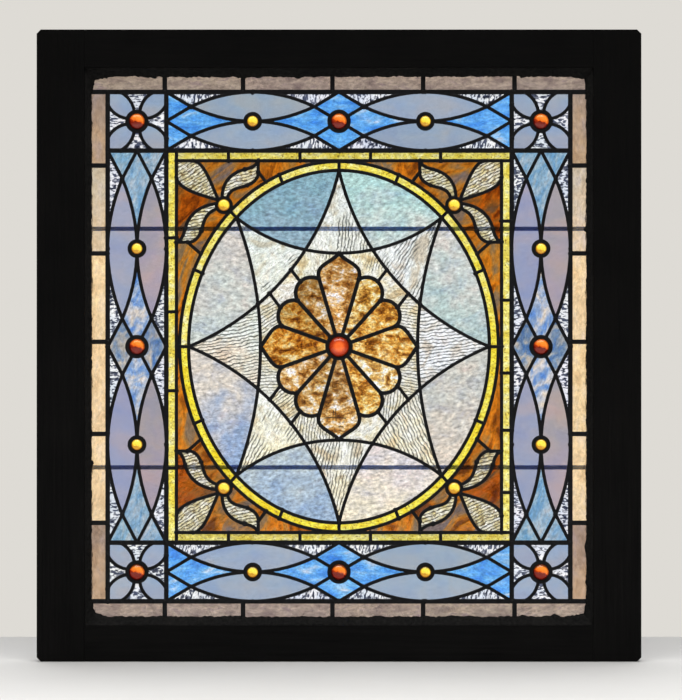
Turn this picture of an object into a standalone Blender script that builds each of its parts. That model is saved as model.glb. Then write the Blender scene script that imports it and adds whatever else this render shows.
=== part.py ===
"""A leaded stained glass window in its wooden sash, with jewelled borders, a ring, a star and a flower.

Metres, +Z up. The front faces -Y, and the origin is at the middle of the sash's bottom edge.
The pattern is drawn in the window's plane as (x, z) points about the middle of the panel.
"""

import math

import bmesh
import bpy
import numpy as np
from mathutils import Matrix, Vector

# Sash
FRAME_WIDTH = 0.874
FRAME_HEIGHT = 0.9135
FRAME_DEPTH = 0.035
STILE_WIDTH = 0.0687
TOP_RAIL = 0.0548
BOTTOM_RAIL = 0.0516
LIP_WIDTH = 0.0085
LIP_DEPTH = 0.016
CORNER_CLIP = 0.006
TENON_LENGTH = 0.040
TENON_THICKNESS = 0.010
TENON_SHOULDER = 0.010
FIT_GAP = 0.0003
# Putty, how far it reaches in over the glass
PUTTY_DEPTH = 0.0100
PUTTY_SIDE = 0.0094
PUTTY_END = 0.0122
PUTTY_TOE = 0.0010
# Saddle bars behind the panel, heights above the panel's middle
BAR_DIAMETER = 0.0064
BAR_LET_IN = 0.006
BAR_HEIGHTS = {"upper": 0.1712, "lower": -0.1754}
# Leaded panel
PANEL_CLEARANCE = 0.002
CAME_DEPTH = 0.006
CAME_FLANGE = 0.0015
GLASS_THICKNESS = 0.003
# Widths of the panel's bands, between centre lines of their cames
SIDE_STRIP = 0.0308
END_STRIP = 0.0322
BAND_WIDTH = 0.0850
YELLOW_STRIP = 0.0147
RING_GAP_SIDE = 0.0046
RING_GAP_END = 0.0010
RING_WIDTH = 0.0130
# Face widths of the lead
MAIN_CAME = 0.0066
FINE_CAME = 0.0048
FLOWER_CAME = 0.0056
JEWEL_CAME = 0.0060
EDGE_CAME = 0.0070
# Jewels, visible diameters and the dome's height as a share of them
CENTRE_JEWEL = 0.0290
ORANGE_JEWEL = 0.0222
YELLOW_JEWEL = 0.0155
LEAF_JEWEL = 0.0168
JEWEL_DOME = 0.28
JEWEL_SIDES = 8

# Joints in the strips, as shares of the half width or half height that they divide
END_JOINTS = (-0.690, -0.380, -0.026, 0.333, 0.695)
SIDE_JOINTS = (-0.692, -0.343, 0.019, 0.366, 0.711)
YELLOW_ENDS = (-0.680, -0.240, 0.194, 0.625)
YELLOW_LEFT = (-0.620, -0.225, 0.178, 0.555)
YELLOW_RIGHT = (-0.785, -0.450, -0.142, 0.250, 0.675)
RING_JOINTS = (0, 24.6, 47.0, 68, 90)
# Star: the ring's angle at a diagonal point, and how far its arcs bow in as shares of their chords
TIP_DEG = 47.0
LONG_BOW = 0.122
TOP_BOW = 0.173
SIDE_BOW = 0.0935
# Corner squares: where the petals' edges leave the square's side, as a share of its half, and their bow
PETAL_MOUTH = 0.577
PETAL_EDGE_BOW = 0.13
PETAL_ROOT_DEG = 74
# Flower, as shares of its half width and half height
PETAL_JOINTS = ((0.2516, 0.721), (0.528, 0.493), (0.730, 0.220))
PETAL_BOWS = (0.38, 0.36)
END_OGEE = ((0.315, 0.880), (0.101, 0.890))
SIDE_OGEE = ((0.918, 0.077), (0.855, 0.232))
SPOKES = (0.462, 0.595)
# Leaves in the spandrels: their reach along the field's edges, as shares of its half width and height
LEAF_REACH_X = 0.503
LEAF_REACH_Z = 0.438
LEAF_STUB = 0.0020
LEAF_MOUTH = 0.205
BIG_LEAF = ((0.345, 0.020), (0.416, 0.270))
LEAF_OUTER = ((0.555, 0.263), (0.670, 0.149), (0.835, 0.106))
LEAF_INNER = ((0.650, 0.335), (0.755, 0.340), (0.865, 0.303))
LEAF_TIP_OUTER = ((0.920, 0.089), (0.980, 0.063))
LEAF_TIP_INNER = ((0.955, 0.270), (1.010, 0.203), (1.000, 0.136))
# Depths of the small leaves, top and side, as shares of the room between the field's edge and the ring at
# their tips, and how far along the ring past the tips the cames from them end
LEAF_DEPTHS = (3.1024, 2.6420)
LEAF_BRANCH_TURNS_DEG = (3.157, -4.339)
OUTER_ROOT_DEG = 257
INNER_ROOT_DEG = 297

# Places in depth, from the front to the back
FRONT = -FRAME_DEPTH / 2
BACK = FRAME_DEPTH / 2
LIP_FRONT = BACK - LIP_DEPTH
PANEL_BACK = LIP_FRONT - FIT_GAP
PANEL_FRONT = PANEL_BACK - CAME_DEPTH
GLASS_FRONT = PANEL_FRONT + CAME_FLANGE
GLASS_BACK = GLASS_FRONT + GLASS_THICKNESS
BAR_AT = PANEL_BACK + FIT_GAP + BAR_DIAMETER / 2
TENON_AT = (LIP_FRONT + BACK) / 2
# Half sizes in the window's plane
OUTER_X = FRAME_WIDTH / 2
REBATE_X = OUTER_X - STILE_WIDTH
REBATE_Z = (FRAME_HEIGHT - TOP_RAIL - BOTTOM_RAIL) / 2
MIDDLE_Z = BOTTOM_RAIL + REBATE_Z
PANEL_X = REBATE_X - PANEL_CLEARANCE
PANEL_Z = REBATE_Z - PANEL_CLEARANCE
BORDER_X = PANEL_X - SIDE_STRIP
BORDER_Z = PANEL_Z - END_STRIP
BAND_X = BORDER_X - BAND_WIDTH
BAND_Z = BORDER_Z - BAND_WIDTH
FIELD_X = BAND_X - YELLOW_STRIP
FIELD_Z = BAND_Z - YELLOW_STRIP
RING_X = FIELD_X - RING_GAP_SIDE
RING_Z = FIELD_Z - RING_GAP_END
STAR_X = RING_X - RING_WIDTH
STAR_Z = RING_Z - RING_WIDTH
BAND_MID_X = BORDER_X - BAND_WIDTH / 2
BAND_MID_Z = BORDER_Z - BAND_WIDTH / 2


# Lines of the pattern. A side of a pane is (points of a came's centre line, width of that came).
def line(a, b, came=FINE_CAME):
    return np.array([a, b], float), came


def along(path, start, end, steps, came=FINE_CAME):
    """A stretch of a path, which is a function from a number to a point."""
    return np.array([path(t) for t in np.linspace(start, end, steps + 1)], float), came


def back(side):
    return side[0][::-1], side[1]


def ellipse(x, z, centre=(0, 0)):
    def path(deg):
        angle = math.radians(deg)
        return np.array([centre[0] + x * math.cos(angle), centre[1] + z * math.sin(angle)])

    return path


def bow(a, b, rise):
    """The circular arc from a to b, for t from 0 to 1, standing rise times its chord to the chord's left."""
    a, b = np.array(a, float), np.array(b, float)
    half = (b - a) / 2
    reach = math.hypot(*half)
    ahead = half / reach
    left = np.array([-ahead[1], ahead[0]])
    height = 2 * reach * rise
    radius = (reach**2 + height**2) / (2 * height)
    centre = (a + b) / 2 + left * (height - radius)
    spread = math.asin(reach / abs(radius))

    def path(t):
        angle = (2 * t - 1) * spread
        return centre + radius * math.cos(angle) * left + abs(radius) * math.sin(angle) * ahead

    return path


def bezier(*points):
    """The smooth curve through the first and last point, pulled by those between, for t from 0 to 1."""
    points = np.array(points, float)
    order = len(points) - 1

    def path(t):
        weights = [math.comb(order, i) * t**i * (1 - t) ** (order - i) for i in range(order + 1)]
        return np.array(weights) @ points

    return path


def meet(f, g, s, t):
    """Where paths f and g cross, as a place along each, from a first guess at both."""
    small = 1e-5
    for _ in range(30):
        slopes = np.column_stack([(f(s + small) - f(s)) / small, (g(t) - g(t + small)) / small])
        move = np.linalg.solve(slopes, g(t) - f(s))
        s, t = s + move[0], t + move[1]
    return s, t


def degrees_of(point, centre=(0, 0)):
    return math.degrees(math.atan2(point[1] - centre[1], point[0] - centre[0])) % 360


def round_jewel(centre, radius, start, end, steps=1, came=JEWEL_CAME):
    """The came round a jewel, from one point's direction to another's the short way."""
    first = degrees_of(start, centre)
    turn = (degrees_of(end, centre) - first + 180) % 360 - 180
    return along(ellipse(radius, radius, centre), first, first + turn, steps, came)


def toward(centre, radius, point):
    step = np.subtract(point, centre)
    return centre + radius * step / math.hypot(*step)


def moved(panes, suffix, change):
    return [(name + suffix, [(change(points), came) for points, came in sides]) for name, sides in panes]


def flipped(panes, suffix, x=1, z=1):
    return moved(panes, suffix, lambda points: points * (x, z))


def four_ways(panes):
    made = []
    for suffix, x, z in (("_ne", 1, 1), ("_nw", -1, 1), ("_sw", -1, -1), ("_se", 1, -1)):
        made += flipped(panes, suffix, x, z)
    return made


def rectangle(name, low, high, cames):
    """A four-sided pane. cames are the widths of the lead below, right, above and left of it."""
    (x0, z0), (x1, z1) = low, high
    corners = [(x0, z0), (x1, z0), (x1, z1), (x0, z1)]
    return name, [line(a, b, came) for a, b, came in zip(corners, corners[1:] + corners[:1], cames)]


# The openings that the cames leave
def area_of(points):
    x, z = np.transpose(points)
    return 0.5 * float(np.sum(x * np.roll(z, -1) - np.roll(x, -1) * z))


def shifted(points, distance):
    """An open line moved to its left, and made longer at both ends so that it crosses its neighbours."""
    steps = np.diff(points, axis=0)
    steps /= np.hypot(*steps.T)[:, None]
    normals = np.column_stack([-steps[:, 1], steps[:, 0]])
    made = [points[0] + distance * normals[0] - 2 * distance * steps[0]]
    for point, one, two in zip(points[1:-1], normals, normals[1:]):
        between = (one + two) / 2
        made.append(point + distance * between / (between @ between))
    made.append(points[-1] + distance * normals[-1] + 2 * distance * steps[-1])
    return np.array(made)


def crossing(first, second, near):
    """Where two open lines cross nearest to a point: the place along each, in points, and the crossing."""
    best = len(first) - 1.0, 0.0, (first[-1] + second[0]) / 2
    nearest = math.inf
    for i, (p, r) in enumerate(zip(first, np.diff(first, axis=0))):
        for k, (q, s) in enumerate(zip(second, np.diff(second, axis=0))):
            turn = r[0] * s[1] - r[1] * s[0]
            if turn == 0:
                continue
            t = ((q - p)[0] * s[1] - (q - p)[1] * s[0]) / turn
            u = ((q - p)[0] * r[1] - (q - p)[1] * r[0]) / turn
            found = p + t * r
            if 0 <= t <= 1 and 0 <= u <= 1 and math.dist(found, near) < nearest:
                nearest = math.dist(found, near)
                best = i + t, k + u, found
    return best


def opening(sides, extra=0.0):
    """The outline inside the cames: each side moved in by half its came plus extra, and cut by the next."""
    if area_of(np.vstack([points[:-1] for points, _ in sides])) < 0:
        sides = [back(side) for side in reversed(sides)]
    lines = [shifted(points, came / 2 + extra) for points, came in sides]
    corners = [points[-1] for points, _ in sides]
    kept = list(range(len(lines)))
    while True:
        starts, ends = {}, {}
        for i, k in zip(kept, kept[1:] + kept[:1]):
            end, start, point = crossing(lines[i], lines[k], corners[i])
            ends[i], starts[k] = (end, point), (start, point)
        spans = {i: ends[i][0] - starts[i][0] for i in kept}
        shortest = min(spans, key=spans.get)
        if spans[shortest] > 0 or len(kept) <= 3:
            break
        kept.remove(shortest)
    outline = []
    for i in kept:
        outline.append(starts[i][1])
        outline += [p for n, p in enumerate(lines[i]) if starts[i][0] < n < ends[i][0]]
    return np.array(outline)


# Strips of plain glass
def outer_strips():
    panes = []
    xs = [-PANEL_X, *(share * PANEL_X for share in END_JOINTS), PANEL_X]
    for i, (x0, x1) in enumerate(zip(xs, xs[1:])):
        left = 2 * EDGE_CAME if i == 0 else MAIN_CAME
        right = 2 * EDGE_CAME if x1 == PANEL_X else MAIN_CAME
        top_cames = MAIN_CAME, right, 2 * EDGE_CAME, left
        low_cames = 2 * EDGE_CAME, right, MAIN_CAME, left
        panes.append(rectangle(f"outer_top_{i}", (x0, BORDER_Z), (x1, PANEL_Z), top_cames))
        panes.append(rectangle(f"outer_bottom_{i}", (x0, -PANEL_Z), (x1, -BORDER_Z), low_cames))
    zs = [-BORDER_Z, *(share * BORDER_Z for share in SIDE_JOINTS), BORDER_Z]
    for i, (z0, z1) in enumerate(zip(zs, zs[1:])):
        left_cames = MAIN_CAME, MAIN_CAME, MAIN_CAME, 2 * EDGE_CAME
        right_cames = MAIN_CAME, 2 * EDGE_CAME, MAIN_CAME, MAIN_CAME
        panes.append(rectangle(f"outer_left_{i}", (-PANEL_X, z0), (-BORDER_X, z1), left_cames))
        panes.append(rectangle(f"outer_right_{i}", (BORDER_X, z0), (PANEL_X, z1), right_cames))
    return panes


def yellow_strips():
    """On the left the upright strip covers both corners, and on the right the level strips do."""
    panes = []
    xs = [-FIELD_X, *(share * FIELD_X for share in YELLOW_ENDS), BAND_X]
    for i, (x0, x1) in enumerate(zip(xs, xs[1:])):
        right = MAIN_CAME if x1 == BAND_X else FINE_CAME
        top_cames = FINE_CAME, right, MAIN_CAME, FINE_CAME
        low_cames = MAIN_CAME, right, FINE_CAME, FINE_CAME
        panes.append(rectangle(f"yellow_top_{i}", (x0, FIELD_Z), (x1, BAND_Z), top_cames))
        panes.append(rectangle(f"yellow_bottom_{i}", (x0, -BAND_Z), (x1, -FIELD_Z), low_cames))
    zs = [-BAND_Z, *(share * BAND_Z for share in YELLOW_LEFT), BAND_Z]
    for i, (z0, z1) in enumerate(zip(zs, zs[1:])):
        ends = [MAIN_CAME if abs(z) == BAND_Z else FINE_CAME for z in (z0, z1)]
        cames = ends[0], FINE_CAME, ends[1], MAIN_CAME
        panes.append(rectangle(f"yellow_left_{i}", (-BAND_X, z0), (-FIELD_X, z1), cames))
    zs = [-FIELD_Z, *(share * FIELD_Z for share in YELLOW_RIGHT), FIELD_Z]
    for i, (z0, z1) in enumerate(zip(zs, zs[1:])):
        cames = FINE_CAME, MAIN_CAME, FINE_CAME, FINE_CAME
        panes.append(rectangle(f"yellow_right_{i}", (FIELD_X, z0), (BAND_X, z1), cames))
    return panes


def ring_strips():
    panes = []
    outer, inner = ellipse(RING_X, RING_Z), ellipse(STAR_X, STAR_Z)
    for i, (start, end) in enumerate(zip(RING_JOINTS, RING_JOINTS[1:])):
        outside, inside = along(outer, start, end, 3), along(inner, end, start, 3)
        joints = line(outer(end), inner(end)), line(inner(start), outer(start))
        panes.append((f"ring_{i}", [outside, joints[0], inside, joints[1]]))
    return four_ways(panes)


# Corner squares: a jewel, four petals on the diagonals and four triangles
def jewel_lead(diameter, came=JEWEL_CAME):
    """Radius of the centre line of the lead round a jewel."""
    return (diameter + came) / 2


def corner_square():
    half = BAND_WIDTH / 2
    radius = jewel_lead(ORANGE_JEWEL)
    root = ellipse(radius, radius)(PETAL_ROOT_DEG)
    mouth = np.array([PETAL_MOUTH * half, half])
    arc = along(bow(root, mouth, PETAL_EDGE_BOW), 0, 1, 2)
    other = arc[0][:, ::-1], FINE_CAME
    petal = "petal", [
        arc,
        line(mouth, (half, half), MAIN_CAME),
        line((half, half), mouth[::-1], MAIN_CAME),
        back(other),
        round_jewel((0, 0), radius, root[::-1], root),
    ]
    triangle = "triangle", [
        (back(arc)[0] * (-1, 1), FINE_CAME),
        round_jewel((0, 0), radius, root * (-1, 1), root),
        arc,
        line(mouth, mouth * (-1, 1), MAIN_CAME),
    ]
    panes = four_ways([petal])
    panes += flipped([triangle], "_up") + flipped([triangle], "_down", z=-1)
    panes += moved([triangle], "_right", lambda points: points[:, ::-1])
    panes += moved([triangle], "_left", lambda points: points[:, ::-1] * (-1, 1))
    return panes


def corner_squares():
    middle = BAND_MID_X, BAND_MID_Z
    return four_ways(moved(corner_square(), "_corner", lambda points: points + middle))


# Bands: lenses in pairs about a yellow jewel, with diamonds and triangles between them
def band(length):
    """One band about its own middle, where the orange jewel is. It reaches length either way along x.

    Two cames cross at each end of a pair of lenses: one bows out to the band's edge, and one bows in
    to the yellow jewel on its middle line. A seventh of the length is straight at each end.
    """
    half = BAND_WIDTH / 2
    quarter = half / 2
    reach = length * 5 / 14
    middle = length / 2
    small, big = jewel_lead(YELLOW_JEWEL), jewel_lead(ORANGE_JEWEL)

    def low(s):
        return np.array([s, quarter * ((s - middle) / reach) ** 2])

    def high(s):
        return np.array([s, half - quarter * ((s - middle) / reach) ** 2])

    near, far = middle - reach, middle + reach
    down = (1, -1)
    ring = ellipse(small, small, (middle, 0))
    s0, deg0 = meet(low, ring, middle + small, 10)
    s1 = 2 * middle - s0
    start, end = low(near), low(far)
    inner_low, outer_low = along(low, near, s1, 2), along(low, s0, far, 2)
    round_top = along(ring, 180 - deg0, deg0, 3, JEWEL_CAME)
    lens_top = along(high, far, near, 5)
    lens = "lens", [inner_low, round_top, outer_low, lens_top]
    to_jewel, jewel_deg = meet(bezier(start, (0, 0)), ellipse(big, big), 0.5, 30)
    stop = bezier(start, (0, 0))(to_jewel)
    inner_diamond = "inner_diamond", [
        line(stop, start),
        inner_low,
        round_jewel((middle, 0), small, low(s1), low(s1) * down, 1),
        (back(inner_low)[0] * down, FINE_CAME),
        line(start * down, stop * down),
        round_jewel((0, 0), big, stop * down, stop, 1),
    ]
    outer_diamond = "outer_diamond", [
        outer_low,
        line(end, (length, 0)),
        line((length, 0), end * down),
        (back(outer_low)[0] * down, FINE_CAME),
        round_jewel((middle, 0), small, low(s0) * down, low(s0), 1),
    ]
    outer_half = "outer_half_diamond", [
        line(end, (length, 0)),
        line((length, 0), (length, half), MAIN_CAME),
        line((length, half), end),
    ]
    inner_triangle = "inner_triangle", [
        line((0, half), start),
        along(high, near, middle, 3),
        line((middle, half), (0, half), MAIN_CAME),
    ]
    outer_triangle = "outer_triangle", [
        along(high, middle, far, 3),
        line(end, (length, half)),
        line((length, half), (middle, half), MAIN_CAME),
    ]
    inner_half = "middle_diamond", [
        line((0, half), start),
        line(start, stop),
        round_jewel((0, 0), big, stop, stop * (-1, 1), 2),
        line(stop * (-1, 1), start * (-1, 1)),
        line(start * (-1, 1), (0, half)),
    ]
    panes = four_ways([lens, outer_half, inner_triangle, outer_triangle])
    diamonds = [inner_diamond, outer_diamond]
    panes += flipped(diamonds, "_a") + flipped(diamonds, "_b", x=-1)
    return panes + flipped([inner_half], "_up") + flipped([inner_half], "_down", z=-1)


def border_bands():
    level, upright = band(BAND_X), band(BAND_Z)
    panes = moved(level, "_top", lambda points: points + (0, BAND_MID_Z))
    panes += moved(level, "_bottom", lambda points: points - (0, BAND_MID_Z))
    panes += moved(upright, "_right", lambda points: points[:, ::-1] + (BAND_MID_X, 0))
    panes += moved(upright, "_left", lambda points: points[:, ::-1] - (BAND_MID_X, 0))
    return panes


# Star: long arcs join the ring's top, bottom and sides, and short arcs join its diagonal points
RING_INSIDE = ellipse(STAR_X, STAR_Z)
TIP = RING_INSIDE(TIP_DEG)
LONG_ARC = bow((0, STAR_Z), (STAR_X, 0), -LONG_BOW)
TOP_ARC = bow(TIP * (-1, 1), TIP, -TOP_BOW)
SIDE_ARC = bow(TIP, TIP * (1, -1), -SIDE_BOW)
HIGH_ON_LONG, HIGH_ON_TOP = meet(LONG_ARC, TOP_ARC, 0.36, 0.67)
LOW_ON_LONG, LOW_ON_SIDE = meet(LONG_ARC, SIDE_ARC, 0.64, 0.33)
FLOWER_SIZE = np.array([SIDE_ARC(0.5)[0], TOP_ARC(0.5)[1]])


def star_points():
    """The four white points on the axes and the four on the diagonals."""
    diagonal = "star_point", [
        along(LONG_ARC, HIGH_ON_LONG, LOW_ON_LONG, 2),
        along(SIDE_ARC, LOW_ON_SIDE, 0, 3),
        along(TOP_ARC, 1, HIGH_ON_TOP, 3),
    ]
    right = along(LONG_ARC, 0, HIGH_ON_LONG, 3)
    foot = along(TOP_ARC, HIGH_ON_TOP, 1 - HIGH_ON_TOP, 2)
    north = [right, foot, (back(right)[0] * (-1, 1), FINE_CAME)]
    low = along(LONG_ARC, LOW_ON_LONG, 1, 3)
    foot = along(SIDE_ARC, 1 - LOW_ON_SIDE, LOW_ON_SIDE, 2)
    east = [low, (back(low)[0] * (1, -1), FINE_CAME), foot]
    panes = four_ways([diagonal])
    panes += [("star_point_n", north), ("star_point_e", east)]
    panes += flipped([("star_point_s", north)], "", z=-1)
    return panes + flipped([("star_point_w", east)], "", x=-1)


def star_fields():
    """The eight panes between the star's points and the ring."""
    upper = "star_field_upper", [
        along(RING_INSIDE, TIP_DEG, 90, 4),
        along(LONG_ARC, 0, HIGH_ON_LONG, 3),
        along(TOP_ARC, HIGH_ON_TOP, 1, 3),
    ]
    lower = "star_field_lower", [
        along(RING_INSIDE, 0, TIP_DEG, 4),
        along(SIDE_ARC, 0, LOW_ON_SIDE, 3),
        along(LONG_ARC, LOW_ON_LONG, 1, 3),
    ]
    return four_ways([upper, lower])


# Flower: twelve petals about the centre jewel
HUB = jewel_lead(CENTRE_JEWEL, FLOWER_CAME)
JOINTS = [np.array(joint) * FLOWER_SIZE for joint in PETAL_JOINTS]
ROUND_ENDS = [bow(JOINTS[0], JOINTS[1], PETAL_BOWS[0]), bow(JOINTS[1], JOINTS[2], PETAL_BOWS[1])]
TOP_OGEE = bezier(JOINTS[0], *(np.array(p) * FLOWER_SIZE for p in END_OGEE), FLOWER_SIZE * (0, 1))
SIDE_OGEE_PATH = bezier(FLOWER_SIZE * (1, 0), *(np.array(p) * FLOWER_SIZE for p in SIDE_OGEE), JOINTS[2])


def flower_petals():
    roots = [toward((0, 0), HUB, joint) for joint in JOINTS]
    spokes = [line(root, joint, FLOWER_CAME) for root, joint in zip(roots, JOINTS)]

    def hub(start, end):
        return round_jewel((0, 0), HUB, start, end, 1, FLOWER_CAME)

    def mirrored(side, x, z):
        return side[0] * (x, z), FLOWER_CAME

    high, low = (along(path, 0, 1, 4, FLOWER_CAME) for path in ROUND_ENDS)
    ogee = along(TOP_OGEE, 0, 1, 4, FLOWER_CAME)
    side_ogee = along(SIDE_OGEE_PATH, 0, 1, 4, FLOWER_CAME)
    upper = "flower_petal_upper", [spokes[0], high, back(spokes[1]), hub(roots[1], roots[0])]
    lower = "flower_petal_lower", [spokes[1], low, back(spokes[2]), hub(roots[2], roots[1])]
    north = [spokes[0], ogee, mirrored(back(ogee), -1, 1), mirrored(back(spokes[0]), -1, 1)]
    north.append(hub(roots[0] * (-1, 1), roots[0]))
    east = [mirrored(spokes[2], 1, -1), mirrored(back(side_ogee), 1, -1), side_ogee, back(spokes[2])]
    east.append(hub(roots[2], roots[2] * (1, -1)))
    panes = four_ways([upper, lower])
    panes += [("flower_petal_n", north), ("flower_petal_e", east)]
    panes += flipped([("flower_petal_s", north)], "", z=-1)
    return panes + flipped([("flower_petal_w", east)], "", x=-1)


def flower_ground():
    """The panes between the petals and the star's inner edge."""
    ends = [path(0.5) for path in ROUND_ENDS]
    high, low = (LONG_ARC(share) for share in SPOKES)
    above = "ground_upper", [
        back(along(TOP_OGEE, 0, 1, 3, FLOWER_CAME)),
        along(ROUND_ENDS[0], 0, 0.5, 2, FLOWER_CAME),
        line(ends[0], high),
        along(LONG_ARC, SPOKES[0], HIGH_ON_LONG, 1),
        along(TOP_ARC, HIGH_ON_TOP, 0.5, 1),
    ]
    between = "ground_diagonal", [
        along(ROUND_ENDS[0], 0.5, 1, 2, FLOWER_CAME),
        along(ROUND_ENDS[1], 0, 0.5, 2, FLOWER_CAME),
        line(ends[1], low),
        along(LONG_ARC, SPOKES[1], SPOKES[0], 1),
        line(high, ends[0]),
    ]
    beside = "ground_lower", [
        along(ROUND_ENDS[1], 0.5, 1, 2, FLOWER_CAME),
        back(along(SIDE_OGEE_PATH, 0, 1, 3, FLOWER_CAME)),
        along(SIDE_ARC, 0.5, LOW_ON_SIDE, 1),
        along(LONG_ARC, LOW_ON_LONG, SPOKES[1], 1),
        line(low, ends[1]),
    ]
    return four_ways([above, between, beside])


# Spandrels: three leaves and a jewel, drawn as shares of the leaves' reach, inwards from the field's corner
REACH = np.array([LEAF_REACH_X * FIELD_X, LEAF_REACH_Z * FIELD_Z])
LEAF_LEAD = jewel_lead(LEAF_JEWEL, FINE_CAME)
FIELD_RING = ellipse(-RING_X, -RING_Z, (FIELD_X, FIELD_Z))
LEAF_CENTRE = toward(FIELD_RING(TIP_DEG), LEAF_LEAD + LEAF_STUB, (0, 0))
# The ring's angles across from the small leaves' tips, top and side, and the sizes the leaves are drawn to
LEAF_TIPS_DEG = (
    math.degrees(math.acos((FIELD_X - REACH[0]) / RING_X)),
    math.degrees(math.asin((FIELD_Z - REACH[1]) / RING_Z)),
)
TOP_LEAF = np.array([REACH[0], LEAF_DEPTHS[0] * FIELD_RING(LEAF_TIPS_DEG[0])[1]])
SIDE_LEAF = np.array([LEAF_DEPTHS[1] * FIELD_RING(LEAF_TIPS_DEG[1])[0], REACH[1]])


def round_leaf_jewel(start, end):
    return round_jewel(LEAF_CENTRE, LEAF_LEAD, start, end, 1, FINE_CAME)


def small_leaf(turned):
    """A small leaf's outer and inner edge, each from the jewel to the tip, in two stretches.

    The outer edge ends on the field's edge, and the inner one meets a came from the ring on its way.
    """
    roots = [90 - deg if turned else deg for deg in (OUTER_ROOT_DEG, INNER_ROOT_DEG)]
    outer_root, inner_root = (ellipse(LEAF_LEAD, LEAF_LEAD, LEAF_CENTRE)(deg) for deg in roots)

    def place(*shares):
        if turned:
            return [np.array(share[::-1]) * SIDE_LEAF for share in shares]
        return [np.array(share) * TOP_LEAF for share in shares]

    tip = place((1, 0))[0]
    outer, inner = place(*LEAF_OUTER), place(*LEAF_INNER)
    outer_tip, inner_tip = place(*LEAF_TIP_OUTER), place(*LEAF_TIP_INNER)
    return {
        "tip": tip,
        "joint": inner_tip[-1],
        "outer": along(bezier(outer_root, *outer), 0, 1, 3),
        "outer_tip": along(bezier(outer[-1], *outer_tip, tip), 0, 1, 1),
        "inner": along(bezier(inner_root, *inner), 0, 1, 3),
        "inner_tip": along(bezier(inner[-1], *inner_tip), 0, 1, 2),
        "end": line(inner_tip[-1], tip),
    }


def leaf_pane(name, leaf):
    """A small leaf, closed by the jewel's lead between its two roots."""
    outwards = [leaf["outer"], leaf["outer_tip"]]
    homewards = [back(leaf["end"]), back(leaf["inner_tip"]), back(leaf["inner"])]
    root = round_leaf_jewel(leaf["inner"][0][0], leaf["outer"][0][0])
    return name, [*outwards, *homewards, root]


def spandrel():
    mouth = LEAF_MOUTH * REACH
    root = toward(LEAF_CENTRE, LEAF_LEAD, (0, 0))
    near = toward(LEAF_CENTRE, LEAF_LEAD, FIELD_RING(TIP_DEG))
    big_top = along(bezier(mouth * (1, 0), *(np.array(p) * REACH for p in BIG_LEAF), root), 0, 1, 4)
    big_side = along(bezier(mouth * (0, 1), *(np.array(p[::-1]) * REACH for p in BIG_LEAF), root), 0, 1, 4)
    top, side = small_leaf(False), small_leaf(True)
    corners = line(mouth * (0, 1), (0, 0)), line((0, 0), mouth * (1, 0))
    panes = [
        ("leaf_big", [*corners, big_top, back(big_side)]),
        leaf_pane("leaf_top", top),
        leaf_pane("leaf_side", side),
    ]
    half_ways = (("top", top, big_top, 1), ("side", side, big_side, 0))
    for name, leaf, edge, axis in half_ways:
        branch_deg = LEAF_TIPS_DEG[1 - axis] + LEAF_BRANCH_TURNS_DEG[1 - axis]
        branch = line(leaf["joint"], FIELD_RING(branch_deg))
        corner = np.array([FIELD_X, 0]) if axis else np.array([0, FIELD_Z])
        touch_deg = 90 if axis else 0
        beside = [
            edge,
            round_leaf_jewel(root, leaf["outer"][0][0]),
            leaf["outer"],
            leaf["outer_tip"],
            line(leaf["tip"], edge[0][0]),
        ]
        inner = [
            leaf["inner"],
            leaf["inner_tip"],
            branch,
            along(FIELD_RING, branch_deg, TIP_DEG, 2),
            line(FIELD_RING(TIP_DEG), near),
            round_leaf_jewel(near, leaf["inner"][0][0]),
        ]
        outer = [
            line(leaf["tip"], corner),
            line(corner, FIELD_RING(touch_deg)),
            along(FIELD_RING, touch_deg, branch_deg, 3),
            back(branch),
            leaf["end"],
        ]
        panes.append(("ground_beside_" + name, beside))
        panes.append(("ground_inner_" + name, inner))
        panes.append(("ground_outer_" + name, outer))
    return panes


def spandrels():
    return four_ways(moved(spandrel(), "_spandrel", lambda points: (FIELD_X, FIELD_Z) - points))


# Jewels
def jewels():
    """Every jewel's name, place, visible diameter and colour."""
    found = [("jewel_centre", (0, 0), CENTRE_JEWEL, "red")]
    leaf_x, leaf_z = FIELD_X - LEAF_CENTRE[0], FIELD_Z - LEAF_CENTRE[1]
    for z_name, z in (("top", 1), ("bottom", -1)):
        for x_name, x in (("left", -1), ("right", 1)):
            corner = f"{z_name}_{x_name}"
            found += [
                (f"jewel_corner_{corner}", (x * BAND_MID_X, z * BAND_MID_Z), ORANGE_JEWEL, "orange"),
                (f"jewel_leaf_{corner}", (x * leaf_x, z * leaf_z), LEAF_JEWEL, "gold"),
                (f"jewel_{z_name}_band_{x_name}", (x * BAND_X / 2, z * BAND_MID_Z), YELLOW_JEWEL, "gold"),
                (f"jewel_{x_name}_band_{z_name}", (x * BAND_MID_X, z * BAND_Z / 2), YELLOW_JEWEL, "gold"),
            ]
        found.append((f"jewel_{z_name}_middle", (0, z * BAND_MID_Z), ORANGE_JEWEL, "orange"))
    for x_name, x in (("left", -1), ("right", 1)):
        found.append((f"jewel_{x_name}_middle", (x * BAND_MID_X, 0), ORANGE_JEWEL, "orange"))
    return found


def fused_panes():
    """The small panes, which are one thin web with the lead."""
    panes = outer_strips() + corner_squares() + border_bands() + yellow_strips()
    return panes + ring_strips() + flower_ground() + spandrels()


# Blender objects
def clear_scene():
    for obj in list(bpy.data.objects):
        bpy.data.objects.remove(obj)


def new_collection(name):
    made = bpy.data.collections.new(name)
    bpy.context.scene.collection.children.link(made)
    return made


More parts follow.
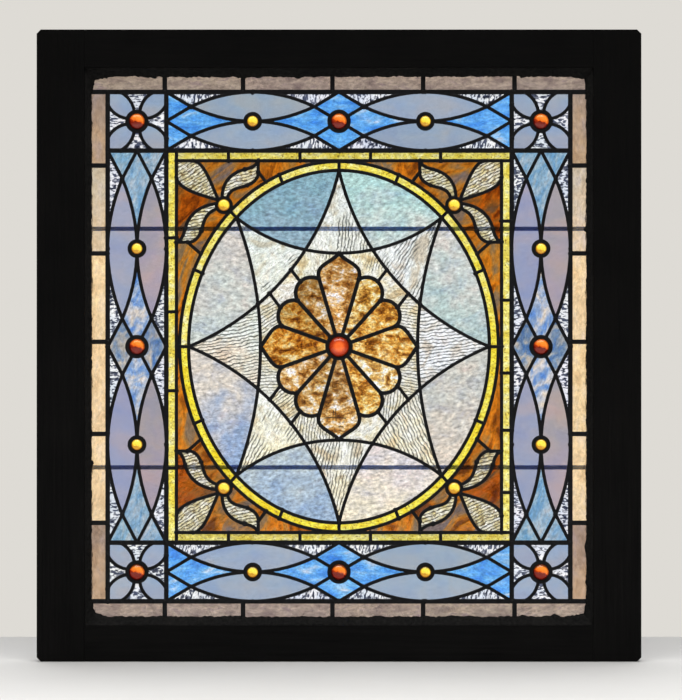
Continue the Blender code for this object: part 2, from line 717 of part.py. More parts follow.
def material(name, colour, roughness, metallic=0.0, alpha=1.0):
    made = bpy.data.materials.new(name)
    made.use_nodes = True
    made.diffuse_color = (*colour, 1.0)
    shader = made.node_tree.nodes["Principled BSDF"]
    shader.inputs["Base Color"].default_value = (*colour, 1.0)
    shader.inputs["Roughness"].default_value = roughness
    shader.inputs["Metallic"].default_value = metallic
    shader.inputs["Alpha"].default_value = alpha
    return made


def box(name, low, high, collection):
    """A box between two corners, with its origin at its middle."""
    low, high = Vector(low), Vector(high)
    bm = bmesh.new()
    bmesh.ops.create_cube(bm, size=1.0, matrix=Matrix.Diagonal((*(high - low), 1.0)))
    mesh = bpy.data.meshes.new(name)
    bm.to_mesh(mesh)
    bm.free()
    obj = bpy.data.objects.new(name, mesh)
    obj.location = (low + high) / 2
    collection.objects.link(obj)
    return obj


def plate(name, outlines, front, rear, collection):
    """A mesh of flat outlines, given about the panel's middle, between two depths. Inner ones are holes."""
    flat = bpy.data.curves.new(name, "CURVE")
    flat.dimensions = "2D"
    flat.fill_mode = "BOTH"
    flat.extrude = (rear - front) / 2
    for outline in outlines:
        spline = flat.splines.new("POLY")
        spline.points.add(len(outline) - 1)
        spline.use_cyclic_u = True
        for point, (x, z) in zip(spline.points, outline):
            point.co = (x, z, 0.0, 1.0)
    guide = bpy.data.objects.new(name + "_outline", flat)
    guide.location = (0, (front + rear) / 2, MIDDLE_Z)
    guide.rotation_euler = (math.pi / 2, 0, 0)
    collection.objects.link(guide)
    bpy.context.view_layer.update()
    graph = bpy.context.evaluated_depsgraph_get()
    mesh = bpy.data.meshes.new_from_object(guide.evaluated_get(graph))
    bm = bmesh.new()
    bm.from_mesh(mesh)
    bmesh.ops.remove_doubles(bm, verts=bm.verts, dist=1e-6)
    bmesh.ops.recalc_face_normals(bm, faces=bm.faces)
    bm.to_mesh(mesh)
    bm.free()
    obj = bpy.data.objects.new(name, mesh)
    obj.matrix_world = guide.matrix_world
    collection.objects.link(obj)
    bpy.data.objects.remove(guide)
    return obj


def combine(target, tool, operation="DIFFERENCE"):
    modifier = target.modifiers.new(tool.name, "BOOLEAN")
    modifier.operation = operation
    modifier.solver = "EXACT"
    modifier.object = tool
    tool.hide_render = True
    tool.display_type = "WIRE"


def give(obj, finish):
    obj.data.materials.clear()
    obj.data.materials.append(finish)


def add_stiles(window, tools, wood):
    """Upright members, with their outer corners worn off, rebated, mortised and notched for the bars."""
    top = FRAME_HEIGHT - MIDDLE_Z
    for name, side in (("left", -1), ("right", 1)):
        inner = REBATE_X - LIP_WIDTH
        outline = [
            (inner, -MIDDLE_Z),
            (OUTER_X - CORNER_CLIP, -MIDDLE_Z),
            (OUTER_X, CORNER_CLIP - MIDDLE_Z),
            (OUTER_X, top - CORNER_CLIP),
            (OUTER_X - CORNER_CLIP, top),
            (inner, top),
        ]
        outline = [(side * x, z) for x, z in outline]
        stile = plate(f"frame_stile_{name}", [outline], FRONT, BACK, window)
        give(stile, wood)
        ends = sorted((side * (inner - STILE_WIDTH), side * REBATE_X))
        rebate = box(
            f"{name}_rebate", (ends[0], 2 * FRONT, -1), (ends[1], LIP_FRONT, FRAME_HEIGHT + 1), tools
        )
        combine(stile, rebate)
        for rail, low, high in tenon_heights():
            ends = sorted((side * (inner - STILE_WIDTH), side * (inner + TENON_LENGTH + FIT_GAP)))
            half = TENON_THICKNESS / 2 + FIT_GAP
            corners = (ends[0], TENON_AT - half, low - FIT_GAP), (ends[1], TENON_AT + half, high + FIT_GAP)
            combine(stile, box(f"{name}_{rail}_mortise", *corners, tools))
        for bar, height in BAR_HEIGHTS.items():
            ends = sorted((side * (inner - STILE_WIDTH), side * (inner + BAR_LET_IN + FIT_GAP)))
            half = BAR_DIAMETER / 2 + FIT_GAP
            low, high = MIDDLE_Z + height - half, MIDDLE_Z + height + half
            corners = (ends[0], 2 * FRONT, low), (ends[1], BAR_AT + half, high)
            combine(stile, box(f"{name}_{bar}_notch", *corners, tools))


def tenon_heights():
    """Each rail's name, and the lowest and highest point of its tenons."""
    lip_low = MIDDLE_Z - REBATE_Z + LIP_WIDTH
    lip_high = MIDDLE_Z + REBATE_Z - LIP_WIDTH
    return (
        ("bottom", TENON_SHOULDER, lip_low - TENON_SHOULDER),
        ("top", lip_high + TENON_SHOULDER, FRAME_HEIGHT - TENON_SHOULDER),
    )


def add_rails(window, tools, wood):
    """Level members between the stiles. Their fronts reach past the lip to the stiles' own fronts."""
    inner = REBATE_X - LIP_WIDTH
    lip_z = REBATE_Z - LIP_WIDTH
    for name, low, high in tenon_heights():
        ends = (0.0, MIDDLE_Z - lip_z) if name == "bottom" else (MIDDLE_Z + lip_z, FRAME_HEIGHT)
        reach = REBATE_X - FIT_GAP
        rail = box(f"frame_rail_{name}", (-reach, FRONT, ends[0]), (reach, BACK, ends[1]), window)
        give(rail, wood)
        rebate_z = MIDDLE_Z - REBATE_Z, MIDDLE_Z + REBATE_Z
        corners = (-1, 2 * FRONT, rebate_z[0]), (1, LIP_FRONT, rebate_z[1])
        combine(rail, box(f"{name}_rebate", *corners, tools))
        for side_name, side in (("left", -1), ("right", 1)):
            across = sorted((side * (inner - FIT_GAP), side))
            corners = (across[0], LIP_FRONT - FIT_GAP, -1), (across[1], 2 * BACK, FRAME_HEIGHT + 1)
            combine(rail, box(f"{name}_{side_name}_shoulder", *corners, tools))
        half = TENON_THICKNESS / 2
        tenon_reach = inner + TENON_LENGTH
        corners = (-tenon_reach, TENON_AT - half, low), (tenon_reach, TENON_AT + half, high)
        combine(rail, box(f"{name}_tenon", *corners, tools), "UNION")


def add_putty(window, finish):
    """A mitred fillet of putty from the rebate's wall down to a thin toe on the glass."""
    rear = PANEL_FRONT - FIT_GAP
    wall_x, wall_z = REBATE_X - FIT_GAP, REBATE_Z - FIT_GAP
    section = [
        (0, rear),
        (0, rear - PUTTY_DEPTH),
        (1, rear - PUTTY_TOE),
        (1, rear),
    ]
    bm = bmesh.new()
    rings = []
    for reach, depth in section:
        x, z = wall_x - reach * PUTTY_SIDE, wall_z - reach * PUTTY_END
        corners = [(-x, -z), (x, -z), (x, z), (-x, z)]
        rings.append([bm.verts.new((a, depth, MIDDLE_Z + b)) for a, b in corners])
    for one, two in zip(rings, rings[1:] + rings[:1]):
        for i in range(4):
            bm.faces.new((one[i], one[i - 1], two[i - 1], two[i]))
    bmesh.ops.recalc_face_normals(bm, faces=bm.faces)
    mesh = bpy.data.meshes.new("glazing_putty")
    bm.to_mesh(mesh)
    bm.free()
    putty = bpy.data.objects.new("glazing_putty", mesh)
    window.objects.link(putty)
    give(putty, finish)


def add_bars(window, finish):
    reach = REBATE_X - LIP_WIDTH + BAR_LET_IN
    for name, height in BAR_HEIGHTS.items():
        rod = bpy.data.curves.new(f"saddle_bar_{name}", "CURVE")
        rod.dimensions = "3D"
        rod.bevel_depth = BAR_DIAMETER / 2
        rod.bevel_resolution = 2
        rod.use_fill_caps = True
        spline = rod.splines.new("POLY")
        spline.points.add(1)
        for point, x in zip(spline.points, (-reach, reach)):
            point.co = (x, 0, 0, 1)
        bar = bpy.data.objects.new(f"saddle_bar_{name}", rod)
        bar.location = (0, BAR_AT, MIDDLE_Z + height)
        window.objects.link(bar)
        give(bar, finish)


def jewel_outline(centre, radius):
    """A round of straight sides whose flats are at the radius."""
    path = ellipse(radius / math.cos(math.pi / JEWEL_SIDES), radius / math.cos(math.pi / JEWEL_SIDES), centre)
    return [path(360 * i / JEWEL_SIDES) for i in range(JEWEL_SIDES)]


def add_lead(window, tools, finish):
    """The cames as one plate, open at the glass that is separate and recessed over the small panes."""
    low = (-PANEL_X, PANEL_FRONT, MIDDLE_Z - PANEL_Z)
    high = (PANEL_X, PANEL_BACK, MIDDLE_Z + PANEL_Z)
    lead = box("lead_came_matrix", low, high, window)
    give(lead, finish)
    openings = [opening(sides) for _, sides in flower_petals() + star_points() + star_fields()]
    openings += [jewel_outline(centre, diameter / 2) for _, centre, diameter, _ in jewels()]
    proud = CAME_FLANGE
    combine(lead, plate("glass_openings", openings, PANEL_FRONT - proud, PANEL_BACK + proud, tools))
    recesses = [opening(sides) for _, sides in fused_panes()]
    combine(lead, plate("pane_recesses", recesses, PANEL_FRONT - proud, GLASS_FRONT, tools))


def add_panes(window, groups):
    """The larger panes, each a flat piece of glass just clear of its cames."""
    for panes, finish in groups:
        for name, sides in panes:
            pane = plate(name, [opening(sides, FIT_GAP)], GLASS_FRONT, GLASS_BACK, window)
            give(pane, finish)


def add_jewels(window, finishes):
    """Pressed glass domes, turned about an axis that faces the front."""
    rim = CAME_FLANGE + GLASS_THICKNESS
    for name, (x, z), diameter, colour in jewels():
        radius = (diameter / 2 - FIT_GAP) / math.cos(math.pi / JEWEL_SIDES)
        dome = JEWEL_DOME * diameter
        profile = [(0, rim + dome), (0.62 * radius, rim + 0.72 * dome), (radius, rim), (radius, 0), (0, 0)]
        mesh = bpy.data.meshes.new(name)
        mesh.from_pydata([(r, 0, h) for r, h in profile], [(i, i + 1) for i in range(len(profile) - 1)], [])
        jewel = bpy.data.objects.new(name, mesh)
        jewel.location = (x, GLASS_BACK, MIDDLE_Z + z)
        jewel.rotation_euler = (math.pi / 2, 0, 0)
        turn = jewel.modifiers.new("Turn", "SCREW")
        turn.steps = turn.render_steps = JEWEL_SIDES
        turn.use_merge_vertices = True
        turn.merge_threshold = 1e-5
        window.objects.link(jewel)
        give(jewel, finishes[colour])


def build():
    clear_scene()
    window = new_collection("stained_glass_window")
    tools = new_collection("cutters")
    wood = material("Dark stained wood", (0.010, 0.008, 0.007), 0.55)
    lead = material("Lead", (0.020, 0.020, 0.022), 0.55, metallic=0.6)
    iron = material("Saddle bar iron", (0.035, 0.040, 0.050), 0.50, metallic=0.8)
    putty = material("Old putty", (0.015, 0.013, 0.012), 0.90)
    amber = material("Amber streaky glass", (0.55, 0.26, 0.04), 0.15)
    white = material("White ripple glass", (0.78, 0.76, 0.66), 0.15)
    blue = material("Pale blue opal glass", (0.42, 0.58, 0.70), 0.15)
    finishes = {
        "red": material("Red orange jewel glass", (0.55, 0.05, 0.01), 0.08),
        "orange": material("Orange jewel glass", (0.80, 0.16, 0.01), 0.08),
        "gold": material("Golden jewel glass", (0.80, 0.52, 0.03), 0.08),
    }
    add_stiles(window, tools, wood)
    add_rails(window, tools, wood)
    add_putty(window, putty)
    add_bars(window, iron)
    add_lead(window, tools, lead)
    add_panes(window, [(flower_petals(), amber), (star_points(), white), (star_fields(), blue)])
    add_jewels(window, finishes)
    tools.hide_render = True


build()
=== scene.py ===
"""Looks of a leaded stained glass window in its wooden sash.

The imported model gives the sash, the bars and the places. The pattern is drawn again here with finer
curves, for rounded lead, panes of rolled glass with real relief, pressed jewels and ragged putty.
Metres, +Z up, and the front faces -Y. Pattern points are (x, z) about the middle of the panel.
"""

import math

import bpy
import numpy as np
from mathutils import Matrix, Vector
from mathutils.geometry import delaunay_2d_cdt


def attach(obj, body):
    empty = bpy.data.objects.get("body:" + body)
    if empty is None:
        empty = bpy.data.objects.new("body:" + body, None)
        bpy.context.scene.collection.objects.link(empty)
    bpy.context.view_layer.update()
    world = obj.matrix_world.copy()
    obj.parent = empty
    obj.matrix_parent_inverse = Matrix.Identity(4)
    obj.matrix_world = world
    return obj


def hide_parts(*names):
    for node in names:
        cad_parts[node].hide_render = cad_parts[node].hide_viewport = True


# Sash
FRAME_WIDTH = 0.874
FRAME_HEIGHT = 0.9135
FRAME_DEPTH = 0.035
STILE_WIDTH = 0.0687
TOP_RAIL = 0.0548
BOTTOM_RAIL = 0.0516
LIP_DEPTH = 0.016
FIT_GAP = 0.0003
# Putty, how far it reaches in over the glass
PUTTY_DEPTH = 0.0100
PUTTY_SIDE = 0.0094
PUTTY_END = 0.0122
# Leaded panel
PANEL_CLEARANCE = 0.002
CAME_DEPTH = 0.006
CAME_FLANGE = 0.0015
GLASS_THICKNESS = 0.003
# Widths of the panel's bands, between centre lines of their cames
SIDE_STRIP = 0.0308
END_STRIP = 0.0322
BAND_WIDTH = 0.0850
YELLOW_STRIP = 0.0147
RING_GAP_SIDE = 0.0046
RING_GAP_END = 0.0010
RING_WIDTH = 0.0130
# Face widths of the lead
MAIN_CAME = 0.0066
FINE_CAME = 0.0048
FLOWER_CAME = 0.0056
JEWEL_CAME = 0.0060
EDGE_CAME = 0.0070
# Jewels, visible diameters and the dome's height as a share of them
CENTRE_JEWEL = 0.0290
ORANGE_JEWEL = 0.0222
YELLOW_JEWEL = 0.0155
LEAF_JEWEL = 0.0168
JEWEL_DOME = 0.28

# Joints in the strips, as shares of the half width or half height that they divide
END_JOINTS = (-0.690, -0.380, -0.026, 0.333, 0.695)
SIDE_JOINTS = (-0.692, -0.343, 0.019, 0.366, 0.711)
YELLOW_ENDS = (-0.680, -0.240, 0.194, 0.625)
YELLOW_LEFT = (-0.620, -0.225, 0.178, 0.555)
YELLOW_RIGHT = (-0.785, -0.450, -0.142, 0.250, 0.675)
RING_JOINTS = (0, 24.6, 47.0, 68, 90)
# Star: the ring's angle at a diagonal point, and how far its arcs bow in as shares of their chords
TIP_DEG = 47.0
LONG_BOW = 0.122
TOP_BOW = 0.173
SIDE_BOW = 0.0935
# Corner squares: where the petals' edges leave the square's side, as a share of its half, and their bow
PETAL_MOUTH = 0.577
PETAL_EDGE_BOW = 0.13
PETAL_ROOT_DEG = 74
# Flower, as shares of its half width and half height
PETAL_JOINTS = ((0.2516, 0.721), (0.528, 0.493), (0.730, 0.220))
PETAL_BOWS = (0.38, 0.36)
END_OGEE = ((0.315, 0.880), (0.101, 0.890))
SIDE_OGEE = ((0.918, 0.077), (0.855, 0.232))
SPOKES = (0.462, 0.595)
# Leaves in the spandrels: their reach along the field's edges, as shares of its half width and height
LEAF_REACH_X = 0.503
LEAF_REACH_Z = 0.438
LEAF_STUB = 0.0020
LEAF_MOUTH = 0.205
BIG_LEAF = ((0.345, 0.020), (0.416, 0.270))
LEAF_OUTER = ((0.555, 0.263), (0.670, 0.149), (0.835, 0.106))
LEAF_INNER = ((0.650, 0.335), (0.755, 0.340), (0.865, 0.303))
LEAF_TIP_OUTER = ((0.920, 0.089), (0.980, 0.063))
LEAF_TIP_INNER = ((0.955, 0.270), (1.010, 0.203), (1.000, 0.136))
LEAF_BRANCH_DEG = (62.7, 30.0)
OUTER_ROOT_DEG = 257
INNER_ROOT_DEG = 297

# Places in depth, from the front to the back
BACK = FRAME_DEPTH / 2
LIP_FRONT = BACK - LIP_DEPTH
PANEL_BACK = LIP_FRONT - FIT_GAP
PANEL_FRONT = PANEL_BACK - CAME_DEPTH
GLASS_FRONT = PANEL_FRONT + CAME_FLANGE
GLASS_BACK = GLASS_FRONT + GLASS_THICKNESS
# Half sizes in the window's plane
OUTER_X = FRAME_WIDTH / 2
REBATE_X = OUTER_X - STILE_WIDTH
REBATE_Z = (FRAME_HEIGHT - TOP_RAIL - BOTTOM_RAIL) / 2
MIDDLE_Z = BOTTOM_RAIL + REBATE_Z
PANEL_X = REBATE_X - PANEL_CLEARANCE
PANEL_Z = REBATE_Z - PANEL_CLEARANCE
BORDER_X = PANEL_X - SIDE_STRIP
BORDER_Z = PANEL_Z - END_STRIP
BAND_X = BORDER_X - BAND_WIDTH
BAND_Z = BORDER_Z - BAND_WIDTH
FIELD_X = BAND_X - YELLOW_STRIP
FIELD_Z = BAND_Z - YELLOW_STRIP
RING_X = FIELD_X - RING_GAP_SIDE
RING_Z = FIELD_Z - RING_GAP_END
STAR_X = RING_X - RING_WIDTH
STAR_Z = RING_Z - RING_WIDTH
BAND_MID_X = BORDER_X - BAND_WIDTH / 2
BAND_MID_Z = BORDER_Z - BAND_WIDTH / 2
# How much finer than the solid model the curves are
FINE = 3
ROUND_STEP_DEG = 12
# Lead: how far its rounded face falls, rows of points over its half width, and the overlap of its halves
CROWN = 0.0009
ROW_SHARES = (0.0, 0.42, 0.72, 0.91, 1.0)
OVERLAP = 0.00015
# Solder: a blob's reach, rise and sides, its rows as shares of reach and rise, its middle's rise as a
# share, how deep it starts in the lead's crown, and how blobs and their sides vary. Joints nearer than
# SAME_JOINT are one, and none is soldered so near the edge or a jewel.
SOLDER_REACH = 0.0034
SOLDER_RISE = 0.0005
SOLDER_SIDES = 10
SOLDER_ROWS = ((0.30, 1.0), (0.70, 0.72), (1.0, 0.0))
SOLDER_PEAK = 1.1
SOLDER_SUNK = 0.75
SOLDER_VARIES = (0.85, 1.15)
SOLDER_WOBBLE = (0.88, 1.12)
SAME_JOINT = 0.003
CLEAR_OF_EDGE = 0.004
CLEAR_OF_JEWEL = 0.006
# Glass: how far it is tucked under the lead, and how a pane's cut is turned and moved on its sheet
TUCK = 0.0011
GLASS_SEED = 7
CUT_TURN_DEG = 8
SHEET_REACH = 3
# Relief: its waves, its bumps and the bumps' size, as shares
WAVE_SHARE, BUMP_SHARE, BUMP_SIZE = 1.4, 0.6, 0.45
# Jewels: their sides, the step of their dome, and the widths of the dome and of the flat back as shares
JEWEL_TURNS = 40
DOME_STEP_DEG = 12
DOME_SHARE = 0.92
BACK_SHARE = 0.5
# Noise: the sides of the square of random values that it repeats, and how far from its edge places start
LATTICE = 97
LATTICE_START = 500
# Points nearer than this in an outline are one, and edges sharper than this aren't smoothed
SAME_POINT = 2e-5
SHARP_DEG = 50
# Points inside a pane: the distance of their rows, and how near they come to its outline, in pitches
ROW_PITCH = 0.866
NEAR_OUTLINE = 0.35
# Old cracks and scratches, as lines of places from the panel's middle: in the lowest petal and the ring
CRACKS = (
    ((-0.0044, -0.0890), (-0.0048, -0.0980), (-0.0042, -0.1080)),
    ((-0.0080, -0.0920), (-0.0078, -0.1000)),
    ((-0.0210, -0.1035), (-0.0060, -0.1022), (0.0105, -0.1040)),
    ((-0.0020, -0.1165), (0.0065, -0.1160)),
    ((0.0950, -0.2290), (0.0980, -0.2350)),
    ((0.0995, -0.2275), (0.1020, -0.2325)),
)
CRACK_WIDTH = 0.0011
CRACK_RISE = 0.0009
# Putty: the step along it, and its section as shares of its reach and depth
PUTTY_STEP = 0.0016
PUTTY_SECTION = ((0.0, 0.0), (0.0, 0.95), (0.30, 0.72), (0.65, 0.40), (0.93, 0.16), (1.0, 0.0))
# How far the putty's toe wanders, in small and large bumps, its blobs, its lumps and its fuller corners
RAGGED = 0.0020
SMALL_RAGS = 0.0035
LARGE_RAGS = 0.012
BLOBS = 0.016
BLOBS_ABOVE = 0.80
LUMPS = 0.0008
LUMP_SIZE = 0.006
CORNER_SWELL = 0.0045
CORNER_REACH = 0.030
# Sash, width of its eased edges, and how sharp an edge has to be
EASED_EDGE = 0.0012
EASED_DEG = 40
# Light, as the world's strength in front of the window and behind it, and a lamp over the floor
FRONT_LIGHT = 0.10
BACK_LIGHT = 1.65
FLOOR_WATTS = 20
FLOOR_X, FLOOR_FRONT, FLOOR_BACK = 3, -6, 0.35
FLOOR_GAP = 0.0005
# Camera: VIEW_HEIGHT is the width and height that it sees at the window
LENS_MM = 150
SENSOR_MM = 36
VIEW_HEIGHT = 1.015
AIM = (0.0029, -0.004, FRAME_HEIGHT / 2 - 0.0065)
BLACK, WHITE = (0, 0, 0, 1), (1, 1, 1, 1)


# Lines of the pattern. A side of a pane is (points of a came's centre line, width of that came).
def line(a, b, came=FINE_CAME):
    return np.array([a, b], float), came


def along(path, start, end, steps, came=FINE_CAME):
    """A stretch of a path, which is a function from a number to a point."""
    return np.array([path(t) for t in np.linspace(start, end, FINE * steps + 1)], float), came


def back(side):
    return side[0][::-1], side[1]


def mirrored(side, x, z):
    return side[0] * (x, z), side[1]


def ellipse(x, z, centre=(0, 0)):
    def path(deg):
        angle = math.radians(deg)
        return np.array([centre[0] + x * math.cos(angle), centre[1] + z * math.sin(angle)])

    return path


def bow(a, b, rise):
    """The circular arc from a to b, for t from 0 to 1, standing rise times its chord to the chord's left."""
    a, b = np.array(a, float), np.array(b, float)
    half = (b - a) / 2
    reach = math.hypot(*half)
    ahead = half / reach
    left = np.array([-ahead[1], ahead[0]])
    height = 2 * reach * rise
    radius = (reach**2 + height**2) / (2 * height)
    centre = (a + b) / 2 + left * (height - radius)
    spread = math.asin(reach / abs(radius))

    def path(t):
        angle = (2 * t - 1) * spread
        return centre + radius * math.cos(angle) * left + abs(radius) * math.sin(angle) * ahead

    return path


def bezier(*points):
    """The smooth curve through the first and last point, pulled by those between, for t from 0 to 1."""
    points = np.array(points, float)
    order = len(points) - 1

    def path(t):
        weights = [math.comb(order, i) * t**i * (1 - t) ** (order - i) for i in range(order + 1)]
        return np.array(weights) @ points

    return path


def meet(f, g, s, t):
    """Where paths f and g cross, as a place along each, from a first guess at both."""
    small = 1e-5
    for _ in range(30):
        slopes = np.column_stack([(f(s + small) - f(s)) / small, (g(t) - g(t + small)) / small])
        move = np.linalg.solve(slopes, g(t) - f(s))
        s, t = s + move[0], t + move[1]
    return s, t


def degrees_of(point, centre=(0, 0)):
    return math.degrees(math.atan2(point[1] - centre[1], point[0] - centre[0])) % 360


def round_jewel(centre, radius, start, end, steps=1, came=JEWEL_CAME):
    """The came round a jewel, from one point's direction to another's the short way."""
    first = degrees_of(start, centre)
    turn = (degrees_of(end, centre) - first + 180) % 360 - 180
    steps = max(steps, math.ceil(abs(turn) / ROUND_STEP_DEG / FINE))
    return along(ellipse(radius, radius, centre), first, first + turn, steps, came)


def toward(centre, radius, point):
    step = np.subtract(point, centre)
    return centre + radius * step / math.hypot(*step)


def moved(panes, suffix, change):
    return [(name + suffix, [(change(points), came) for points, came in sides]) for name, sides in panes]


def flipped(panes, suffix, x=1, z=1):
    return moved(panes, suffix, lambda points: points * (x, z))


def four_ways(panes):
    made = []
    for suffix, x, z in (("_ne", 1, 1), ("_nw", -1, 1), ("_sw", -1, -1), ("_se", 1, -1)):
        made += flipped(panes, suffix, x, z)
    return made


def rectangle(name, low, high, cames):
    """A four-sided pane. cames are the widths of the lead below, right, above and left of it."""
    (x0, z0), (x1, z1) = low, high
    corners = [(x0, z0), (x1, z0), (x1, z1), (x0, z1)]
    return name, [line(a, b, came) for a, b, came in zip(corners, corners[1:] + corners[:1], cames)]


# The openings that the cames leave
def area_of(points):
    x, z = np.transpose(points)
    return 0.5 * float(np.sum(x * np.roll(z, -1) - np.roll(x, -1) * z))


def shifted(points, distance):
    """An open line moved to its left, and made longer at both ends so that it crosses its neighbours."""
    steps = np.diff(points, axis=0)
    steps /= np.hypot(*steps.T)[:, None]
    normals = np.column_stack([-steps[:, 1], steps[:, 0]])
    made = [points[0] + distance * normals[0] - 2 * distance * steps[0]]
    for point, one, two in zip(points[1:-1], normals, normals[1:]):
        between = (one + two) / 2
        made.append(point + distance * between / (between @ between))
    made.append(points[-1] + distance * normals[-1] + 2 * distance * steps[-1])
    return np.array(made)


def crossing(first, second, near):
    """Where two open lines cross nearest to a point: the place along each, in points, and the crossing."""
    best = len(first) - 1.0, 0.0, (first[-1] + second[0]) / 2
    nearest = math.inf
    for i, (p, r) in enumerate(zip(first, np.diff(first, axis=0))):
        for k, (q, s) in enumerate(zip(second, np.diff(second, axis=0))):
            turn = r[0] * s[1] - r[1] * s[0]
            if turn == 0:
                continue
            t = ((q - p)[0] * s[1] - (q - p)[1] * s[0]) / turn
            u = ((q - p)[0] * r[1] - (q - p)[1] * r[0]) / turn
            found = p + t * r
            if 0 <= t <= 1 and 0 <= u <= 1 and math.dist(found, near) < nearest:
                nearest = math.dist(found, near)
                best = i + t, k + u, found
    return best


def opening(sides, extra=0.0):
    """The outline inside the cames: each side moved in by half its came plus extra, and cut by the next."""
    if area_of(np.vstack([points[:-1] for points, _ in sides])) < 0:
        sides = [back(side) for side in reversed(sides)]
    lines = [shifted(points, came / 2 + extra) for points, came in sides]
    corners = [points[-1] for points, _ in sides]
    kept = list(range(len(lines)))
    while True:
        starts, ends = {}, {}
        for i, k in zip(kept, kept[1:] + kept[:1]):
            end, start, point = crossing(lines[i], lines[k], corners[i])
            ends[i], starts[k] = (end, point), (start, point)
        spans = {i: ends[i][0] - starts[i][0] for i in kept}
        shortest = min(spans, key=spans.get)
        if spans[shortest] > 0 or len(kept) <= 3:
            break
        kept.remove(shortest)
    outline = []
    for i in kept:
        outline.append(starts[i][1])
        outline += [p for n, p in enumerate(lines[i]) if starts[i][0] < n < ends[i][0]]
    return np.array(outline)


# Strips of plain glass
def marks_along(reach, shares):
    return [-reach, *(share * reach for share in shares), reach]


def strips(marks, rows, cames, upright=False):
    """Panes between marks, along level or upright rows.

    rows are (name, low, high, width of the lead at the low side, width at the high side), and cames are
    the widths at the first mark, at those between and at the last.
    """
    panes = []
    widths = [cames[0], *[cames[1]] * (len(marks) - 2), cames[2]]
    for i, (start, end) in enumerate(zip(marks, marks[1:])):
        for name, low, high, at_low, at_high in rows:
            if upright:
                corners, round_it = ((low, start), (high, end)), (widths[i], at_high, widths[i + 1], at_low)
            else:
                corners, round_it = ((start, low), (end, high)), (at_low, widths[i + 1], at_high, widths[i])
            panes.append(rectangle(f"{name}_{i}", *corners, round_it))
    return panes


def outer_strips():
    wide, edge = MAIN_CAME, 2 * EDGE_CAME
    ends = ("outer_top", BORDER_Z, PANEL_Z, wide, edge), ("outer_bottom", -PANEL_Z, -BORDER_Z, edge, wide)
    sides = ("outer_left", -PANEL_X, -BORDER_X, edge, wide), ("outer_right", BORDER_X, PANEL_X, wide, edge)
    panes = strips(marks_along(PANEL_X, END_JOINTS), ends, (edge, wide, edge))
    return panes + strips(marks_along(BORDER_Z, SIDE_JOINTS), sides, (wide, wide, wide), upright=True)


def yellow_strips():
    """On the left the upright strip covers both corners, and on the right the level strips do."""
    wide, fine = MAIN_CAME, FINE_CAME
    ends = ("yellow_top", FIELD_Z, BAND_Z, fine, wide), ("yellow_bottom", -BAND_Z, -FIELD_Z, wide, fine)
    left = "yellow_left", -BAND_X, -FIELD_X, wide, fine
    right = "yellow_right", FIELD_X, BAND_X, fine, wide
    panes = strips([*marks_along(FIELD_X, YELLOW_ENDS)[:-1], BAND_X], ends, (fine, fine, wide))
    panes += strips(marks_along(BAND_Z, YELLOW_LEFT), [left], (wide, fine, wide), upright=True)
    return panes + strips(marks_along(FIELD_Z, YELLOW_RIGHT), [right], (fine, fine, fine), upright=True)


def ring_strips():
    panes = []
    outer, inner = ellipse(RING_X, RING_Z), ellipse(STAR_X, STAR_Z)
    for i, (start, end) in enumerate(zip(RING_JOINTS, RING_JOINTS[1:])):
        outside, inside = along(outer, start, end, 3), along(inner, end, start, 3)
        joints = line(outer(end), inner(end)), line(inner(start), outer(start))
        panes.append((f"ring_{i}", [outside, joints[0], inside, joints[1]]))
    return four_ways(panes)


# Corner squares: a jewel, four petals on the diagonals and four triangles
def jewel_lead(diameter, came=JEWEL_CAME):
    """Radius of the centre line of the lead round a jewel."""
    return (diameter + came) / 2


def corner_square():
    half = BAND_WIDTH / 2
    radius = jewel_lead(ORANGE_JEWEL)
    root = ellipse(radius, radius)(PETAL_ROOT_DEG)
    mouth = np.array([PETAL_MOUTH * half, half])
    arc = along(bow(root, mouth, PETAL_EDGE_BOW), 0, 1, 2)
    petal = "petal", [
        arc,
        line(mouth, (half, half), MAIN_CAME),
        line((half, half), mouth[::-1], MAIN_CAME),
        (back(arc)[0][:, ::-1], FINE_CAME),
        round_jewel((0, 0), radius, root[::-1], root),
    ]
    triangle = "triangle", [
        mirrored(back(arc), -1, 1),
        round_jewel((0, 0), radius, root * (-1, 1), root),
        arc,
        line(mouth, mouth * (-1, 1), MAIN_CAME),
    ]
    panes = four_ways([petal])
    panes += flipped([triangle], "_up") + flipped([triangle], "_down", z=-1)
    panes += moved([triangle], "_right", lambda points: points[:, ::-1])
    panes += moved([triangle], "_left", lambda points: points[:, ::-1] * (-1, 1))
    return panes


def corner_squares():
    middle = BAND_MID_X, BAND_MID_Z
    return four_ways(moved(corner_square(), "_corner", lambda points: points + middle))


